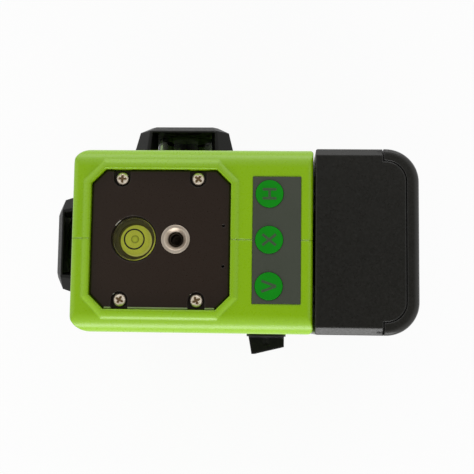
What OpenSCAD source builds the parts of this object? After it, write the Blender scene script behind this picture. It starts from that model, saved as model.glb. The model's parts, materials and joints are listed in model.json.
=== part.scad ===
// Self-levelling line laser level with three cone-mirror heads.
// The plumb axis is Z and the floor is z = 0. The front window looks along -X,
// the side window along +Y, and the battery pack slides off along +X.

/* [Case] */
// Length of the green case
case_len = 101.5; // [99:0.5:112]
// Width of the green case
case_w = 78; // [77:0.5:88]
// Height of the green case above the foot
case_h = 86; // [85:0.5:96]
// Plumb axis to the front face of the case
axis_front = 44; // [43:0.5:48]
// Wall of the case
case_wall = 2.5; // [2:0.1:3]
// Plan radius of the two front corners
front_corner_r = 8; // [5:0.5:12]
// Plan radius of the two rear corners
rear_corner_r = 2; // [1:0.5:4]
// Radius along the long top edges
top_edge_r = 8; // [5:0.5:9]
// Radius along the long bottom edges
bottom_edge_r = 4; // [2:0.5:6]
// Radius of the front and rear edges
end_edge_r = 2.5; // [1.5:0.5:4]
// Groove left between the two halves
seam_gap = 0.1; // [0.05:0.05:0.4]
// Radius of the screw bosses in the case
boss_r = 4; // [3.8:0.1:4.5]

/* [Top plate] */
// Length of the top plate
plate_len = 58.5; // [56:0.5:60]
// Width of the top plate
plate_w = 58.5; // [56:0.5:60]
// Thickness of the top plate
plate_t = 3; // [2.5:0.1:3.5]
// Bevel round the top edge of the plate
plate_edge = 0.7; // [0.3:0.1:0.8]
// Chamfer at the corners of the plate
plate_corner = 6; // [4:0.5:9]
// Centre of the plate behind the plumb axis
plate_x = -6.4; // [-7.5:0.1:-5.5]
// Depth of the plate below the keypad level
plate_sink = 0.8; // [0.4:0.1:1.2]
// Gap around the plate
plate_gap = 0.25; // [0.15:0.05:0.4]
// Ledge under the edge of the plate
ledge = 2; // [1.5:0.1:2.5]
// Rise of the rim crest above the keypad level
rim_rise = 1.2; // [0.6:0.1:1.6]
// Width of the flat crest of the rim
rim_ledge = 0.9; // [0.7:0.1:1.4]
// Width of the crest at the corners of the rim
rim_diag = 0.55; // [0.5:0.05:1]
// Bevel at the inner edge of the crest
rim_bevel = 0.4; // [0.2:0.1:0.45]
// Width of the shoulder at the front and rear of the rim
rim_round_x = 1.85; // [1.4:0.05:2.2]
// Width of the shoulder along the sides of the rim
rim_round_y = 2.2; // [1.6:0.05:2.6]
// Screw spacing along the case
screw_pitch_x = 32.2; // [30:0.1:34]
// Screw spacing across the case
screw_pitch_y = 51.2; // [49:0.1:52]
// Centre of the screw pattern
screw_x = -7; // [-8:0.1:-6]
// Vial centre in front of the plumb axis
vial_x = -17.6; // [-18.5:0.1:-17]
// Radius of the vial
vial_r = 9; // [8:0.1:9.3]
// Height of the vial
vial_h = 8; // [7:0.1:8.6]
// Gap around the top of the vial
vial_gap = 0.7; // [0.4:0.1:0.9]
// Radius of the liquid chamber of the vial
chamber_r = 6.6; // [6:0.1:7]
// Radius of the bubble
bubble_r = 1.85; // [1.5:0.05:2.4]

/* [Tripod threads] */
// Wall radius of the quarter inch tripod thread
thread_r = 2.65; // [2.55:0.05:3.1]
// Outer radius of the top insert
insert_r = 6; // [5.6:0.1:6.3]
// Length of the top insert
insert_len = 11; // [9:0.5:12]
// Mouth radius of the lead-in
mouth_r = 4.7; // [4:0.1:5]
// Depth of the lead-in
mouth_depth = 2.4; // [1.5:0.1:3]
// Length of the insert in the foot
foot_insert_len = 8; // [6:0.5:9]

/* [Keys] */
// Length of the keypad label across the case
label_len = 53; // [50:0.5:56]
// Width of the keypad label along the case
label_w = 20; // [19:0.1:21]
// Centre of the keypad label
label_x = 42.3; // [42:0.1:43]
// Thickness of the keypad label
label_t = 0.6; // [0.4:0.1:0.8]
// Depth of the label pocket
label_sink = 0.4; // [0.2:0.1:0.6]
// Radius of a key
key_r = 5.8; // [5:0.1:6.2]
// End of the label to the centre of an outer key
key_edge = 7.2; // [6.5:0.1:8.5]
// Line of the keys
key_x = 39.2; // [39:0.1:40]
// Travel of a key
key_travel = 0.4; // [0.3:0.05:0.6]
// Rise of a key above the label
key_rise = 0.25; // [0.1:0.05:0.6]
// Gap around a key
key_gap = 0.1; // [0.05:0.05:0.4]

/* [Windows] */
// Depth of the front and side beams below the keypad level
window_drop = 45; // [44:0.5:47]
// Width of a window frame at the case
frame_base = 46.6; // [43:0.2:48]
// Width of a window frame below its cap
frame_neck = 40.4; // [38:0.2:42]
// Width of the flat end of the cap
frame_face = 30; // [28:0.2:34]
// Height of the side window frame
frame_h = 15.2; // [13.4:0.1:16]
// Height of the front window frame
front_frame_h = 12.6; // [12:0.1:14]
// Height of the bevel around the cap
cap_bevel = 2.8; // [2:0.1:3.2]
// Thickness of the cap
cap_t = 3.7; // [3.3:0.1:4]
// Thickness of the frame flange against the case
flange_t = 3; // [2.5:0.1:3.5]
// Corner chamfer of a window frame
frame_corner = 7; // [5:0.5:9]
// Width of a window slot at the glass
slot_w = 23.6; // [20:0.2:24]
// Flare of a window slot on each side
slot_flare = 2.4; // [0:0.2:3]
// Outer radius of a window glass
glass_r = 14; // [13.8:0.1:14.5]
// Wall of a window glass
glass_wall = 2; // [1.5:0.1:2.1]
// Outer radius of the spigot in the case
spigot_r = 17; // [16.5:0.1:17.5]
// Depth of the glass seat in a cap
glass_seat = 0.8; // [0.5:0.1:1]

/* [Foot] */
// Height of the foot under the case
foot_h = 18; // [17.5:0.5:20]
// Thickness of the sole block
sole_h = 10; // [9:0.5:10]
// Thickness of the foot flange
foot_flange_t = 1.6; // [1.5:0.1:2]
// Length of the foot at the case
foot_len = 82; // [80:0.5:90]
// Width of the foot at the case
foot_w = 66; // [64:0.5:70]
// Centre of the foot
foot_x = 5; // [3:0.5:8]
// Draft of the foot on each side
foot_draft = 4; // [2:0.5:6]
// Corner chamfer of the foot
foot_corner = 9; // [6:0.5:12]
// Radius of the foot posts
post_r = 6; // [5:0.5:7]
// Foot screw spacing along the case
foot_pitch_x = 58; // [56:0.5:60]
// Foot screw spacing across the case
foot_pitch_y = 42; // [41:0.5:44]

/* [Pendulum] */
// Depth of the pivots below the keypad level
pivot_drop = 20; // [19.5:0.5:21]
// Radius of the pivot pins
pin_r = 1.5; // [1.2:0.1:1.8]
// Outer radius of the pivot bearings
bearing_r = 3; // [2.8:0.1:3.4]
// Width of the pivot bearings
bearing_w = 2.5; // [2:0.1:3]
// Outer radius of the gimbal ring
ring_r = 18; // [17.5:0.1:18.5]
// Wall of the gimbal ring
ring_wall = 5; // [4.5:0.1:5.5]
// Height of the gimbal ring
ring_h = 9; // [8.5:0.1:10]
// Side of the pendulum head
head_w = 14; // [12:0.5:15]
// Side of the laser block
block_w = 28; // [27:0.5:30]
// Radius of the pendulum stem
stem_r = 5; // [4:0.5:6]
// Radius of a laser barrel
barrel_r = 6.5; // [6:0.1:6.6]
// Bore radius of a laser barrel
beam_r = 3.4; // [3:0.1:3.6]
// Radius of a cone mirror
cone_r = 4; // [3.5:0.1:4.2]
// Outer radius of a cone holder tube
tube_r = 5.5; // [5.2:0.1:5.6]
// Swing of the pendulum each way in degrees
swing = 3; // [2.5:0.1:3.2]
// Thickness of the rear balance weight
weight_x_t = 5.7; // [4:0.1:5.8]
// Thickness of the side balance weight
weight_y_t = 4.6; // [4:0.1:6]
// Height of the balance weights
weight_h = 36; // [30:0.5:40]
// Radius of the damper disc
disc_r = 22; // [21:0.5:23]
// Thickness of the damper disc
disc_t = 3; // [2.5:0.1:3.5]
// Radius of a damper magnet
magnet_r = 4; // [3:0.1:4.5]
// Height of a damper magnet
magnet_h = 3.5; // [3:0.1:4]
// Thickness of the copper damping plate
damper_t = 1.5; // [1:0.1:2]

/* [Lock] */
// Lock shaft behind the plumb axis
lock_x = 37.9; // [37.5:0.1:39]
// Radius of the lock shaft
shaft_r = 3; // [2.6:0.1:3.3]
// Offset of the crank pin
crank = 5; // [4.6:0.1:5.2]
// Radius of the crank pin
crank_pin_r = 1.5; // [1.2:0.1:1.6]
// Lever turn between unlocked and locked in degrees
lock_turn = 60; // [50:1:62]
// Radius of the lever hub
hub_r = 9; // [8:0.5:10]
// Thickness of the lever hub
hub_t = 1.1; // [0.8:0.1:3]
// Length of the lever fin
fin_len = 16.4; // [15:0.2:18]
// Thickness of the lever fin
fin_t = 6.4; // [5:0.2:8]
// Height of the tall end of the fin
fin_tall = 9.4; // [8:0.1:12]
// Height of the low end of the fin
fin_low = 6.1; // [5:0.1:7.5]
// Radius of the lock plunger rod
rod_r = 4; // [3.5:0.1:4.5]
// Front face of the bulkhead behind the plumb axis
bulkhead_x = 29.6; // [29.4:0.1:30]
// Thickness of the bulkhead
bulkhead_t = 2; // [1.5:0.1:2.2]

/* [Battery pack] */
// Length of the battery pack
pack_len = 43; // [42:0.5:50]
// Gap between the case and the pack
pack_gap = 1; // [0.6:0.1:1.5]
// Wall of the pack
pack_wall = 2.5; // [2:0.1:3]
// Chamfer along the long edges of the pack
pack_chamfer = 3; // [2:0.1:4]
// Length of the chamfered front part of the pack
pack_front = 27.9; // [26:0.1:30]
// Thickness of the end band around the pack
band_t = 5.2; // [4.5:0.1:6]
// Plan radius of the end band corners
band_corner_r = 14; // [12:0.5:16]
// Edge radius of the end band
band_edge_r = 2.6; // [2:0.1:3]
// Groove between the pack and its end band
band_groove = 0.45; // [0.3:0.05:0.6]
// Half width of the plug
plug_half = 16; // [14:0.5:18]
// Height of the plug
plug_h = 28; // [24:0.5:32]
// Length of the plug
plug_len = 5.5; // [5:0.1:6]
// Clearance around the plug
plug_gap = 0.4; // [0.3:0.05:0.6]
// Radius of a battery cell
cell_r = 9.2; // [9:0.1:9.3]
// Length of a battery cell
cell_len = 65; // [64:0.1:66]
// Spacing of the cells
cell_pitch = 19.5; // [19:0.1:20]
// Half width of the latch button
latch_half = 9; // [7:0.5:10]
// Travel of the latch button
latch_travel = 2; // [1.5:0.1:2.5]

/* [Fits and screws] */
// Running clearance of shafts and pins
run_gap = 0.05; // [0.03:0.01:0.08]
// Sliding clearance between moving pieces
slide_gap = 0.3; // [0.25:0.05:0.4]
// Radius of a screw shank
screw_r = 1.5; // [1.3:0.05:1.6]
// Radius of a screw head
screw_head_r = 2.75; // [2.5:0.05:2.9]
// Height of a screw head
screw_head_h = 2; // [1.6:0.1:2.3]
// Clearance around a screw
screw_gap = 0.3; // [0.2:0.05:0.4]
// Thickness of a circuit board
board_t = 1.6; // [1.2:0.1:2]
// Edge of the main board above the underside of the case
board_low = 14; // [13:0.5:16]
// Edge of the main board below the keypad level
board_high = 24; // [23:0.5:28]
// Gap between the main board and the contact carrier
board_gap = 1; // [0.6:0.1:2]
// Side of the square chip on the main board
chip_w = 7; // [5:0.5:8]
// Side of the coil on the main board
coil_w = 6; // [5:0.5:7]
// Height of the coil on the main board
coil_h = 3; // [2:0.5:4]
// Height of the plug strip on the main board
strip_h = 5; // [3:0.5:6]
// Radius of the capacitor on the main board
cap_r = 3; // [2:0.5:3.5]
// Length of the capacitor on the main board
cap_len = 7; // [5:0.5:8]
// Width of the battery protection board
guard_w = 56; // [50:1:58]
// Height of the battery protection board
guard_h = 52; // [46:1:56]
// Side of a key switch
switch_w = 5.2; // [4:0.1:6]
// Thickness of a cell strap
strap_t = 0.3; // [0.2:0.05:0.5]
// Width of a cell strap
strap_w = 8; // [6:0.5:9]

/* [Hidden] */
$fn = 64;
eps = 0.5;
far = 300;
xf = -axis_front;
xr = case_len - axis_front;
ys = case_w / 2;
zb = foot_h;
zt = foot_h + case_h;
xi = xr - case_wall;
yi = ys - case_wall;
zi = zb + case_wall;
plate_z1 = zt - plate_sink;
plate_z0 = plate_z1 - plate_t;
ledge_t = 2.5;
ledge_z0 = plate_z0 - ledge_t;
crest_z = zt + rim_rise;
open_len = plate_len + 2 * plate_gap;
open_w = plate_w + 2 * plate_gap;
open_diag = (open_len + open_w - 2 * plate_corner) / sqrt(2);
rim_lean = 1.19;
rim_low = 0.375 * rim_rise;
rim_mid = 0.767 * rim_rise;
rim_root = -1;
rim_levels = [[rim_root, 1, (rim_low - rim_root) * rim_lean], [rim_low, 1, 0], [rim_mid, 0.55, 0], [rim_rise, 0, 0]];
boss_cb_r = screw_head_r + screw_gap;
plate_notch_d = screw_head_h + 0.1;
plate_screw_xy = [for (i = [-1, 1], j = [-1, 1]) [screw_x + i * screw_pitch_x / 2, j * screw_pitch_y / 2]];
plate_boss_r = 3.6;
plate_screw_len = 8;
vial_z1 = plate_z1 - 0.8;
vial_z0 = vial_z1 - vial_h;
insert_z1 = plate_z1 + 0.2;
insert_z0 = insert_z1 - insert_len;
case_screw_xz = [[xf + case_wall + 4, zb + 9], [xf + case_wall + 4, zt - 16], [xi - 5, zt - 14], [xi - 9, zb + 6.5]];
case_screw_seat = -12;
case_screw_len = 24;
foot_screw_xy = [for (i = [-1, 1], j = [-1, 1]) [foot_x + i * foot_pitch_x / 2, j * foot_pitch_y / 2]];
foot_boss_h = 9;
beam_z = zt - window_drop;
gap_u0 = flange_t;
pivot_z = zt - pivot_drop;
ring_in = ring_r - ring_wall;
arm = pivot_z - beam_z;
tip_play = arm * sin(swing) + 0.8;
front_tip = axis_front + front_frame_h - cap_t - tip_play;
side_tip = ys + frame_h - cap_t - tip_play;
down_tip = beam_z - sole_h - 1;
front_barrel = axis_front - 2;
side_barrel = ys - 2;
down_barrel = beam_z - zb - 1;
seat_d = block_w / 2 - barrel_r - 0.5;
disc_z = zi + damper_t + 6;
magnet_ring = disc_r - magnet_r - 1;
lug_in = ring_r + 0.5;
lug_t = bearing_w + 2.5;
lug_w = 2 * bearing_r + 6;
chassis_t = 3;
chassis_z1 = ledge_z0;
chassis_z0 = chassis_z1 - chassis_t;
chassis_x0 = vial_x - vial_r - 4.5;
chassis_x1 = screw_x + screw_pitch_x / 2 + 6;
chassis_y = screw_pitch_y / 2 + plate_boss_r + 0.3;
label_z0 = zt - label_sink;
label_z1 = label_z0 + label_t;
key_z1 = label_z1 + key_rise;
key_flange = 0.9;
key_z0 = zt - case_wall - 1.6;
key_pitch = label_len / 2 - key_edge;
key_ys = [key_pitch, 0, -key_pitch];
switch_h = 0.8;
key_board_z1 = key_z0 - key_travel - 0.1 - switch_h;
key_board_z0 = key_board_z1 - board_t;
key_post_xy = [for (i = [-1, 1], j = [-1, 1]) [label_x + 3.2 + i * 5, j * key_pitch / 2]];
key_board_x0 = label_x - label_w / 2 + 1;
key_board_x1 = min(label_x + label_w / 2, xi - 1);
lock_travel = 2 * crank * sin(lock_turn / 2);
lock_a0 = 90 - lock_turn / 2;
pin_dx = crank * cos(lock_a0);
pin_dz = crank * sin(lock_a0);
yoke_x0 = bulkhead_x + bulkhead_t + lock_travel + 0.5;
yoke_x1 = lock_x + pin_dx + crank_pin_r + slide_gap + 2.5;
pad_t = 2;
pad_x1 = bulkhead_x - 0.4;
pad_x0 = pad_x1 - pad_t;
shaft_end = -8;
yoke_y = 4;
bush_r = shaft_r + 2;
bush_len = 9;
carrier_half = plug_half + 4;
board_y = carrier_half + board_gap;
board_x0 = yoke_x0 - 4;
board_x1 = xi - 3;
board_z0 = zb + board_low;
board_z1 = zt - board_high;
chip_x = board_x0 + 4.5;
board_post_xz = [for (i = [0, 1], j = [0, 1]) [board_x0 + 4 + i * (board_x1 - board_x0 - 8), board_z0 + 4 + j * (board_z1 - board_z0 - 8)]];
px0 = xr + pack_gap;
px1 = px0 + pack_len;
px_mid = px0 + pack_front;
px_core = px1 - band_t - band_groove;
core_half = ys - band_t - band_groove;
core_r = band_corner_r - band_t - band_groove;
plug_z = (zb + zt) / 2 - 2;
carrier_x0 = xi - 8;
carrier_x1 = px0 - plug_len - 0.3;
cell_x = px0 + pack_wall + cell_r + 2;
cell_z = [for (i = [-1, 0, 1]) (zb + zt) / 2 + 2 + i * cell_pitch];
pack_board_x = cell_x + cell_r + 1.5;
latch_x0 = px0 + 3;
latch_x1 = px0 + 14;
latch_hook_h = 3.5;
latch_z = zb + pack_wall + 0.1;
socket_w = 9;
socket_h = 3.3;
socket_z = zb + 11;
socket_x0 = px_core - pack_wall - 3;
socket_x1 = px1 - 0.6;

green = [0.53, 0.69, 0.08];
black = [0.15, 0.15, 0.15];
plate_black = [0.2, 0.18, 0.16];
steel = [0.75, 0.74, 0.72];
brass = [0.8, 0.65, 0.3];
zinc = [0.6, 0.6, 0.62];
clear = [0.7, 0.85, 0.8, 0.5];
liquid = [0.75, 0.9, 0.2];
grey = [0.3, 0.32, 0.27];
key_green = [0.1, 0.5, 0.12];
board_green = [0.05, 0.3, 0.15];
copper = [0.75, 0.4, 0.25];
cell_blue = [0.2, 0.35, 0.6];
rubber = [0.1, 0.1, 0.1];

// Rectangle with its own radius at each corner, from the lower left one round.
module round_rect(x0, x1, y0, y1, r) {
    polygon([[x0 + r[0], y0], [x1 - r[1], y0], [x1, y0 + r[1]], [x1, y1 - r[2]], [x1 - r[2], y1],
        [x0 + r[3], y1], [x0, y1 - r[3]], [x0, y0 + r[0]]]);
    translate([x0 + r[0], y0 + r[0]]) circle(r[0]);
    translate([x1 - r[1], y0 + r[1]]) circle(r[1]);
    translate([x1 - r[2], y1 - r[2]]) circle(r[2]);
    translate([x0 + r[3], y1 - r[3]]) circle(r[3]);
}

// Extrude a profile drawn as (y, z) along X, and one drawn as (x, z) along Y.
module along_x(x0, x1) {
    translate([x0, 0, 0]) rotate([90, 0, 90]) linear_extrude(x1 - x0) children();
}
module along_y(y0, y1) {
    translate([0, y1, 0]) rotate([90, 0, 0]) linear_extrude(y1 - y0) children();
}
module box(x0, x1, y0, y1, z0, z1) {
    translate([x0, y0, z0]) cube([x1 - x0, y1 - y0, z1 - z0]);
}
module rod_x(x0, x1, y, z, r) {
    translate([x0, y, z]) rotate([0, 90, 0]) cylinder(h = x1 - x0, r = r);
}
module rod_y(y0, y1, x, z, r) {
    translate([x, y1, z]) rotate([90, 0, 0]) cylinder(h = y1 - y0, r = r);
}
module rod_z(z0, z1, x, y, r) {
    translate([x, y, z0]) cylinder(h = z1 - z0, r = r);
}

// Octagonal block with straight tapered sides: sizes at its bottom and its top.
module taper_bar(w0, w1, h) {
    rotate([90, 0, 0]) linear_extrude(far, center = true)
        polygon([[-w0 / 2, 0], [w0 / 2, 0], [w1 / 2, h], [-w1 / 2, h]]);
}
module taper_oct(a0, b0, c0, h, grow_a, grow_b) {
    d0 = (a0 + b0 - 2 * c0) / sqrt(2);
    grow_c = (grow_a + grow_b) / 2;
    intersection() {
        taper_bar(a0, a0 + 2 * grow_a, h);
        rotate(90) taper_bar(b0, b0 + 2 * grow_b, h);
        rotate(45) taper_bar(d0, d0 + 2 * grow_c, h);
        rotate(-45) taper_bar(d0, d0 + 2 * grow_c, h);
    }
}

// Put a head drawn along +Z on the front, side or base of the case.
module to_front() {
    translate([0, 0, beam_z]) rotate([0, -90, 0]) children();
}
module to_side() {
    translate([0, 0, beam_z]) rotate([-90, 0, 0]) children();
}
module to_base() {
    translate([0, 0, beam_z]) rotate([180, 0, 0]) children();
}

// Screw along +Z with its head on top and the seat of the head at z = 0.
module screw(len) {
    difference() {
        union() {
            rotate_extrude() polygon([[0, 0], [screw_head_r, 0], [screw_head_r, screw_head_h * 0.55],
                [screw_head_r * 0.8, screw_head_h * 0.9], [screw_head_r * 0.45, screw_head_h], [0, screw_head_h]]);
            translate([0, 0, -len]) cylinder(h = len + 0.1, r = screw_r);
        }
        for (a = [0, 90]) rotate(a) translate([-1.5, -0.4, screw_head_h * 0.4]) cube([3, 0.8, screw_head_h]);
    }
}

// Outside of the case, and its hollow when inset by the wall.
module case_form(i) {
    intersection() {
        translate([0, 0, zb + i]) linear_extrude(zt - zb - 2 * i) round_rect(xf + i, xr - i, -ys + i, ys - i,
            [max(front_corner_r - i, 0.5), max(rear_corner_r - i, 0.5), max(rear_corner_r - i, 0.5),
            max(front_corner_r - i, 0.5)]);
        along_x(xf - 1, xr + 1) round_rect(-ys + i, ys - i, zb + i, zt - i,
            [max(bottom_edge_r - i, 0.5), max(bottom_edge_r - i, 0.5), max(top_edge_r - i, 0.5),
            max(top_edge_r - i, 0.5)]);
        along_y(-ys - 1, ys + 1) round_rect(xf + i, xr - i, zb + i, zt - i,
            [max(end_edge_r - i, 0.5), max(end_edge_r - i, 0.5), max(end_edge_r - i, 0.5), max(end_edge_r - i, 0.5)]);
    }
}

// Raised rim round the plate: a flat crest, then three flats that get steeper down to the case.
module rim_layer(low, high) {
    low_x = rim_round_x * low[1] + low[2];
    low_y = rim_round_y * low[1] + low[2];
    high_x = rim_round_x * high[1] + high[2];
    high_y = rim_round_y * high[1] + high[2];
    a = open_len + 2 * (rim_ledge + low_x);
    b = open_w + 2 * (rim_ledge + low_y);
    corner = (a + b) / 2 - (open_diag + 2 * rim_diag + low_x + low_y) / sqrt(2);
    translate([plate_x, 0, zt + low[0]]) taper_oct(a, b, corner, high[0] - low[0], high_x - low_x, high_y - low_y);
}

// Walls with the raised rim, the collar under it, the bulkhead and the board posts.
module case_walls() {
    difference() {
        union() {
            difference() {
                union() {
                    case_form(0);
                    for (k = [0 : 2]) rim_layer(rim_levels[k], rim_levels[k + 1]);
                }
                case_form(case_wall);
            }
            intersection() {
                case_form(0.2);
                union() {
                    translate([plate_x, 0, ledge_z0]) taper_oct(open_len + 4, open_w + 4, plate_corner + 1,
                        zt - ledge_z0, 0, 0);
                    box(bulkhead_x, bulkhead_x + bulkhead_t, -far, far, zb + 1, beam_z + 14);
                    for (p = key_post_xy) rod_z(key_board_z1, zt - 1, p[0], p[1], 2.4);
                    for (p = board_post_xz) rod_y(board_y + board_t, ys - 1, p[0], p[1], 3);
                    rod_y(-ys + 1, -ys + case_wall + bush_len - 3, lock_x, beam_z, bush_r + 2);
                    for (p = foot_screw_xy) rod_z(zb + 1, zi + foot_boss_h, p[0], p[1], boss_r);
                }
            }
        }
        translate([plate_x, 0, crest_z - rim_bevel]) taper_oct(open_len, open_w, plate_corner, rim_bevel + 0.1,
            rim_bevel + 0.1, rim_bevel + 0.1);
        translate([plate_x, 0, plate_z0]) taper_oct(open_len, open_w, plate_corner, crest_z - plate_z0, 0, 0);
        translate([plate_x, 0, ledge_z0 - 1]) taper_oct(open_len - 2 * ledge, open_w - 2 * ledge, plate_corner,
            ledge_t + 2, 0, 0);
        for (p = plate_screw_xy) rod_z(ledge_z0 - 1, plate_z0 + 0.1, p[0], p[1], plate_boss_r + 0.3);
        to_front() rod_z(axis_front - case_wall - 1, axis_front + 1, 0, 0, spigot_r);
        to_side() rod_z(ys - case_wall - 1, ys + 1, 0, 0, spigot_r);
        rod_z(zb - 1, zi + 1, 0, 0, spigot_r);
        box(label_x - label_w / 2 - 0.15, label_x + label_w / 2 + 0.15, -label_len / 2 - 0.15, label_len / 2 + 0.15,
            label_z0, zt + 1);
        for (y = key_ys) rod_z(zt - case_wall - 1, zt + 1, key_x, y, key_r + key_gap);
        for (p = key_post_xy) rod_z(key_board_z1 - 1, zt - case_wall, p[0], p[1], 0.9);
        for (p = board_post_xz) rod_y(board_y, board_y + 8, p[0], p[1], 0.9);
        rod_x(bulkhead_x - 1, bulkhead_x + bulkhead_t + 1, 0, beam_z, rod_r + run_gap);
        rod_y(-ys - 1, -ys + case_wall + bush_len, lock_x, beam_z, bush_r);
        box(xi - 1, xr + 1, -plug_half - plug_gap, plug_half + plug_gap, plug_z - plug_h / 2 - plug_gap,
            plug_z + plug_h / 2 + plug_gap);
        box(xi - 1, xr + 1, -latch_half + 2.6, latch_half - 2.6, latch_z + 0.7,
            latch_z + 1.5 + latch_hook_h + latch_travel + 0.6);
        for (p = foot_screw_xy) rod_z(zb - 1, zi + foot_boss_h - 1.5, p[0], p[1], screw_r);
    }
}

// One half of the case: side -1 is the lever half, side 1 the side window half.
module case_half(side) {
    difference() {
        union() {
            intersection() {
                case_walls();
                box(-far, far, side < 0 ? -far : seam_gap / 2, side < 0 ? -seam_gap / 2 : far, 0, far);
            }
            intersection() {
                case_form(0.2);
                for (p = case_screw_xz) rod_y(side < 0 ? -ys : 0, side < 0 ? 0 : ys, p[0], p[1], boss_r);
            }
        }
        for (p = case_screw_xz) {
            if (side < 0) rod_y(-ys - 1, case_screw_seat, p[0], p[1], boss_cb_r);
            rod_y(case_screw_seat - 1, case_screw_seat + case_screw_len + 1, p[0], p[1],
                side < 0 ? screw_r + screw_gap : screw_r);
        }
    }
}
module case_left() {
    color(green) case_half(-1);
}
module case_right() {
    color(green) case_half(1);
}
module case_screws() {
    color(steel) for (p = case_screw_xz) translate([p[0], case_screw_seat, p[1]]) rotate([90, 0, 0])
        screw(case_screw_len);
}

// Black plate with screw notches open to its edge and a stepped hole for the vial.
module top_plate() {
    color(plate_black) difference() {
        union() {
            translate([plate_x, 0, plate_z0]) taper_oct(plate_len, plate_w, plate_corner, plate_t - plate_edge, 0, 0);
            translate([plate_x, 0, plate_z1 - plate_edge]) taper_oct(plate_len, plate_w, plate_corner, plate_edge,
                -plate_edge, -plate_edge);
        }
        for (p = plate_screw_xy) {
            rod_z(plate_z0 - 1, plate_z1 + 1, p[0], p[1], screw_r + screw_gap);
            rod_z(plate_z1 - plate_notch_d, plate_z1 + 1, p[0], p[1], screw_head_r + 0.8);
            box(p[0] - screw_head_r - 0.8, p[0] + screw_head_r + 0.8, p[1] > 0 ? p[1] : -far,
                p[1] > 0 ? far : p[1], plate_z1 - plate_notch_d, plate_z1 + 1);
        }
        rod_z(plate_z0 + 1, plate_z1 + 1, vial_x, 0, vial_r + vial_gap);
        rod_z(plate_z0 - 1, plate_z1 + 1, vial_x, 0, vial_r);
        rod_z(plate_z0 - 1, plate_z1 + 1, 0, 0, insert_r);
        rod_z(plate_z0 - 1, plate_z1 + 1, plate_x + plate_len / 2 - 2.8, 5.8, 0.6);
        rod_z(plate_z0 - 1, plate_z1 + 1, plate_x + plate_len / 2 - 2.8, -11.2, 0.6);
    }
}
module plate_screws() {
    color(steel) for (p = plate_screw_xy) translate([p[0], p[1], plate_z1 - plate_notch_d]) screw(plate_screw_len);
}
module thread_insert() {
    color(steel) difference() {
        rod_z(insert_z0, insert_z1, 0, 0, insert_r);
        rod_z(insert_z0 - 1, insert_z1 + 1, 0, 0, thread_r);
        translate([0, 0, insert_z1 - mouth_depth]) cylinder(h = mouth_depth + 0.01, r1 = thread_r, r2 = mouth_r);
    }
}
module vial_body() {
    color(clear) difference() {
        rod_z(vial_z0, vial_z1, vial_x, 0, vial_r);
        rod_z(vial_z0 + 2, vial_z1 - 1.4, vial_x, 0, chamber_r);
    }
}
module vial_liquid() {
    color(liquid) difference() {
        rod_z(vial_z0 + 2, vial_z1 - 1.4, vial_x, 0, chamber_r);
        rod_z(vial_z1 - 2.2, vial_z1, vial_x, 0, bubble_r);
    }
}

// Keypad label, keys and the board under them.
module keypad_label() {
    color(grey) difference() {
        box(label_x - label_w / 2, label_x + label_w / 2, -label_len / 2, label_len / 2, label_z0, label_z1);
        for (y = key_ys) rod_z(zt - 2, zt + 2, key_x, y, key_r + key_gap);
    }
}
module key(y) {
    color(key_green) {
        rod_z(key_z0 + 1, key_z1, key_x, y, key_r);
        rod_z(key_z0, zt - case_wall - 0.05, key_x, y, key_r + key_flange);
    }
}
module key_h() {
    key(key_ys[0]);
}
module key_mode() {
    key(key_ys[1]);
}
module key_v() {
    key(key_ys[2]);
}
module key_board() {
    color(board_green) difference() {
        box(key_board_x0, key_board_x1, -label_len / 2 + 1, label_len / 2 - 1, key_board_z0, key_board_z1);
        for (p = key_post_xy) rod_z(key_board_z0 - 1, key_board_z1 + 1, p[0], p[1], 0.9);
    }
}
module key_switches() {
    color(steel) for (y = key_ys) {
        box(key_x - switch_w / 2, key_x + switch_w / 2, y - switch_w / 2, y + switch_w / 2, key_board_z1,
            key_board_z1 + switch_h * 0.6);
        rod_z(key_board_z1, key_board_z1 + switch_h, key_x, y, 1.2);
    }
}
module small_screw(len) {
    translate([0, 0, -len]) cylinder(h = len + 0.1, r = 0.9);
    cylinder(h = 1, r = 1.7);
}
module board_screws() {
    color(steel) {
        for (p = key_post_xy) translate([p[0], p[1], key_board_z0]) rotate([180, 0, 0]) small_screw(board_t + 2);
        for (p = board_post_xz) translate([p[0], board_y, p[1]]) rotate([90, 0, 0]) small_screw(board_t + 5);
    }
}
module main_board() {
    color(board_green) difference() {
        box(board_x0, board_x1, board_y, board_y + board_t, board_z0, board_z1);
        for (p = board_post_xz) rod_y(board_y - 1, board_y + board_t + 1, p[0], p[1], 0.9);
    }
}
module board_chips() {
    color(black) {
        cz = board_z0 + 2 * cap_r + chip_w;
        sz = board_z1 - strip_h - chip_w;
        box(chip_x, chip_x + chip_w, board_y - 1.2, board_y, cz, cz + chip_w);
        box(chip_x, chip_x + coil_w, board_y - coil_h, board_y, cz + chip_w + 2, cz + chip_w + 2 + coil_w);
        box(chip_x, carrier_x0 - board_gap, board_y - strip_h, board_y, sz - chip_w, sz);
        rod_y(board_y - cap_len, board_y, chip_x + chip_w + 2 * cap_r - 3, board_z0 + 3 * cap_r, cap_r);
    }
}

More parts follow.
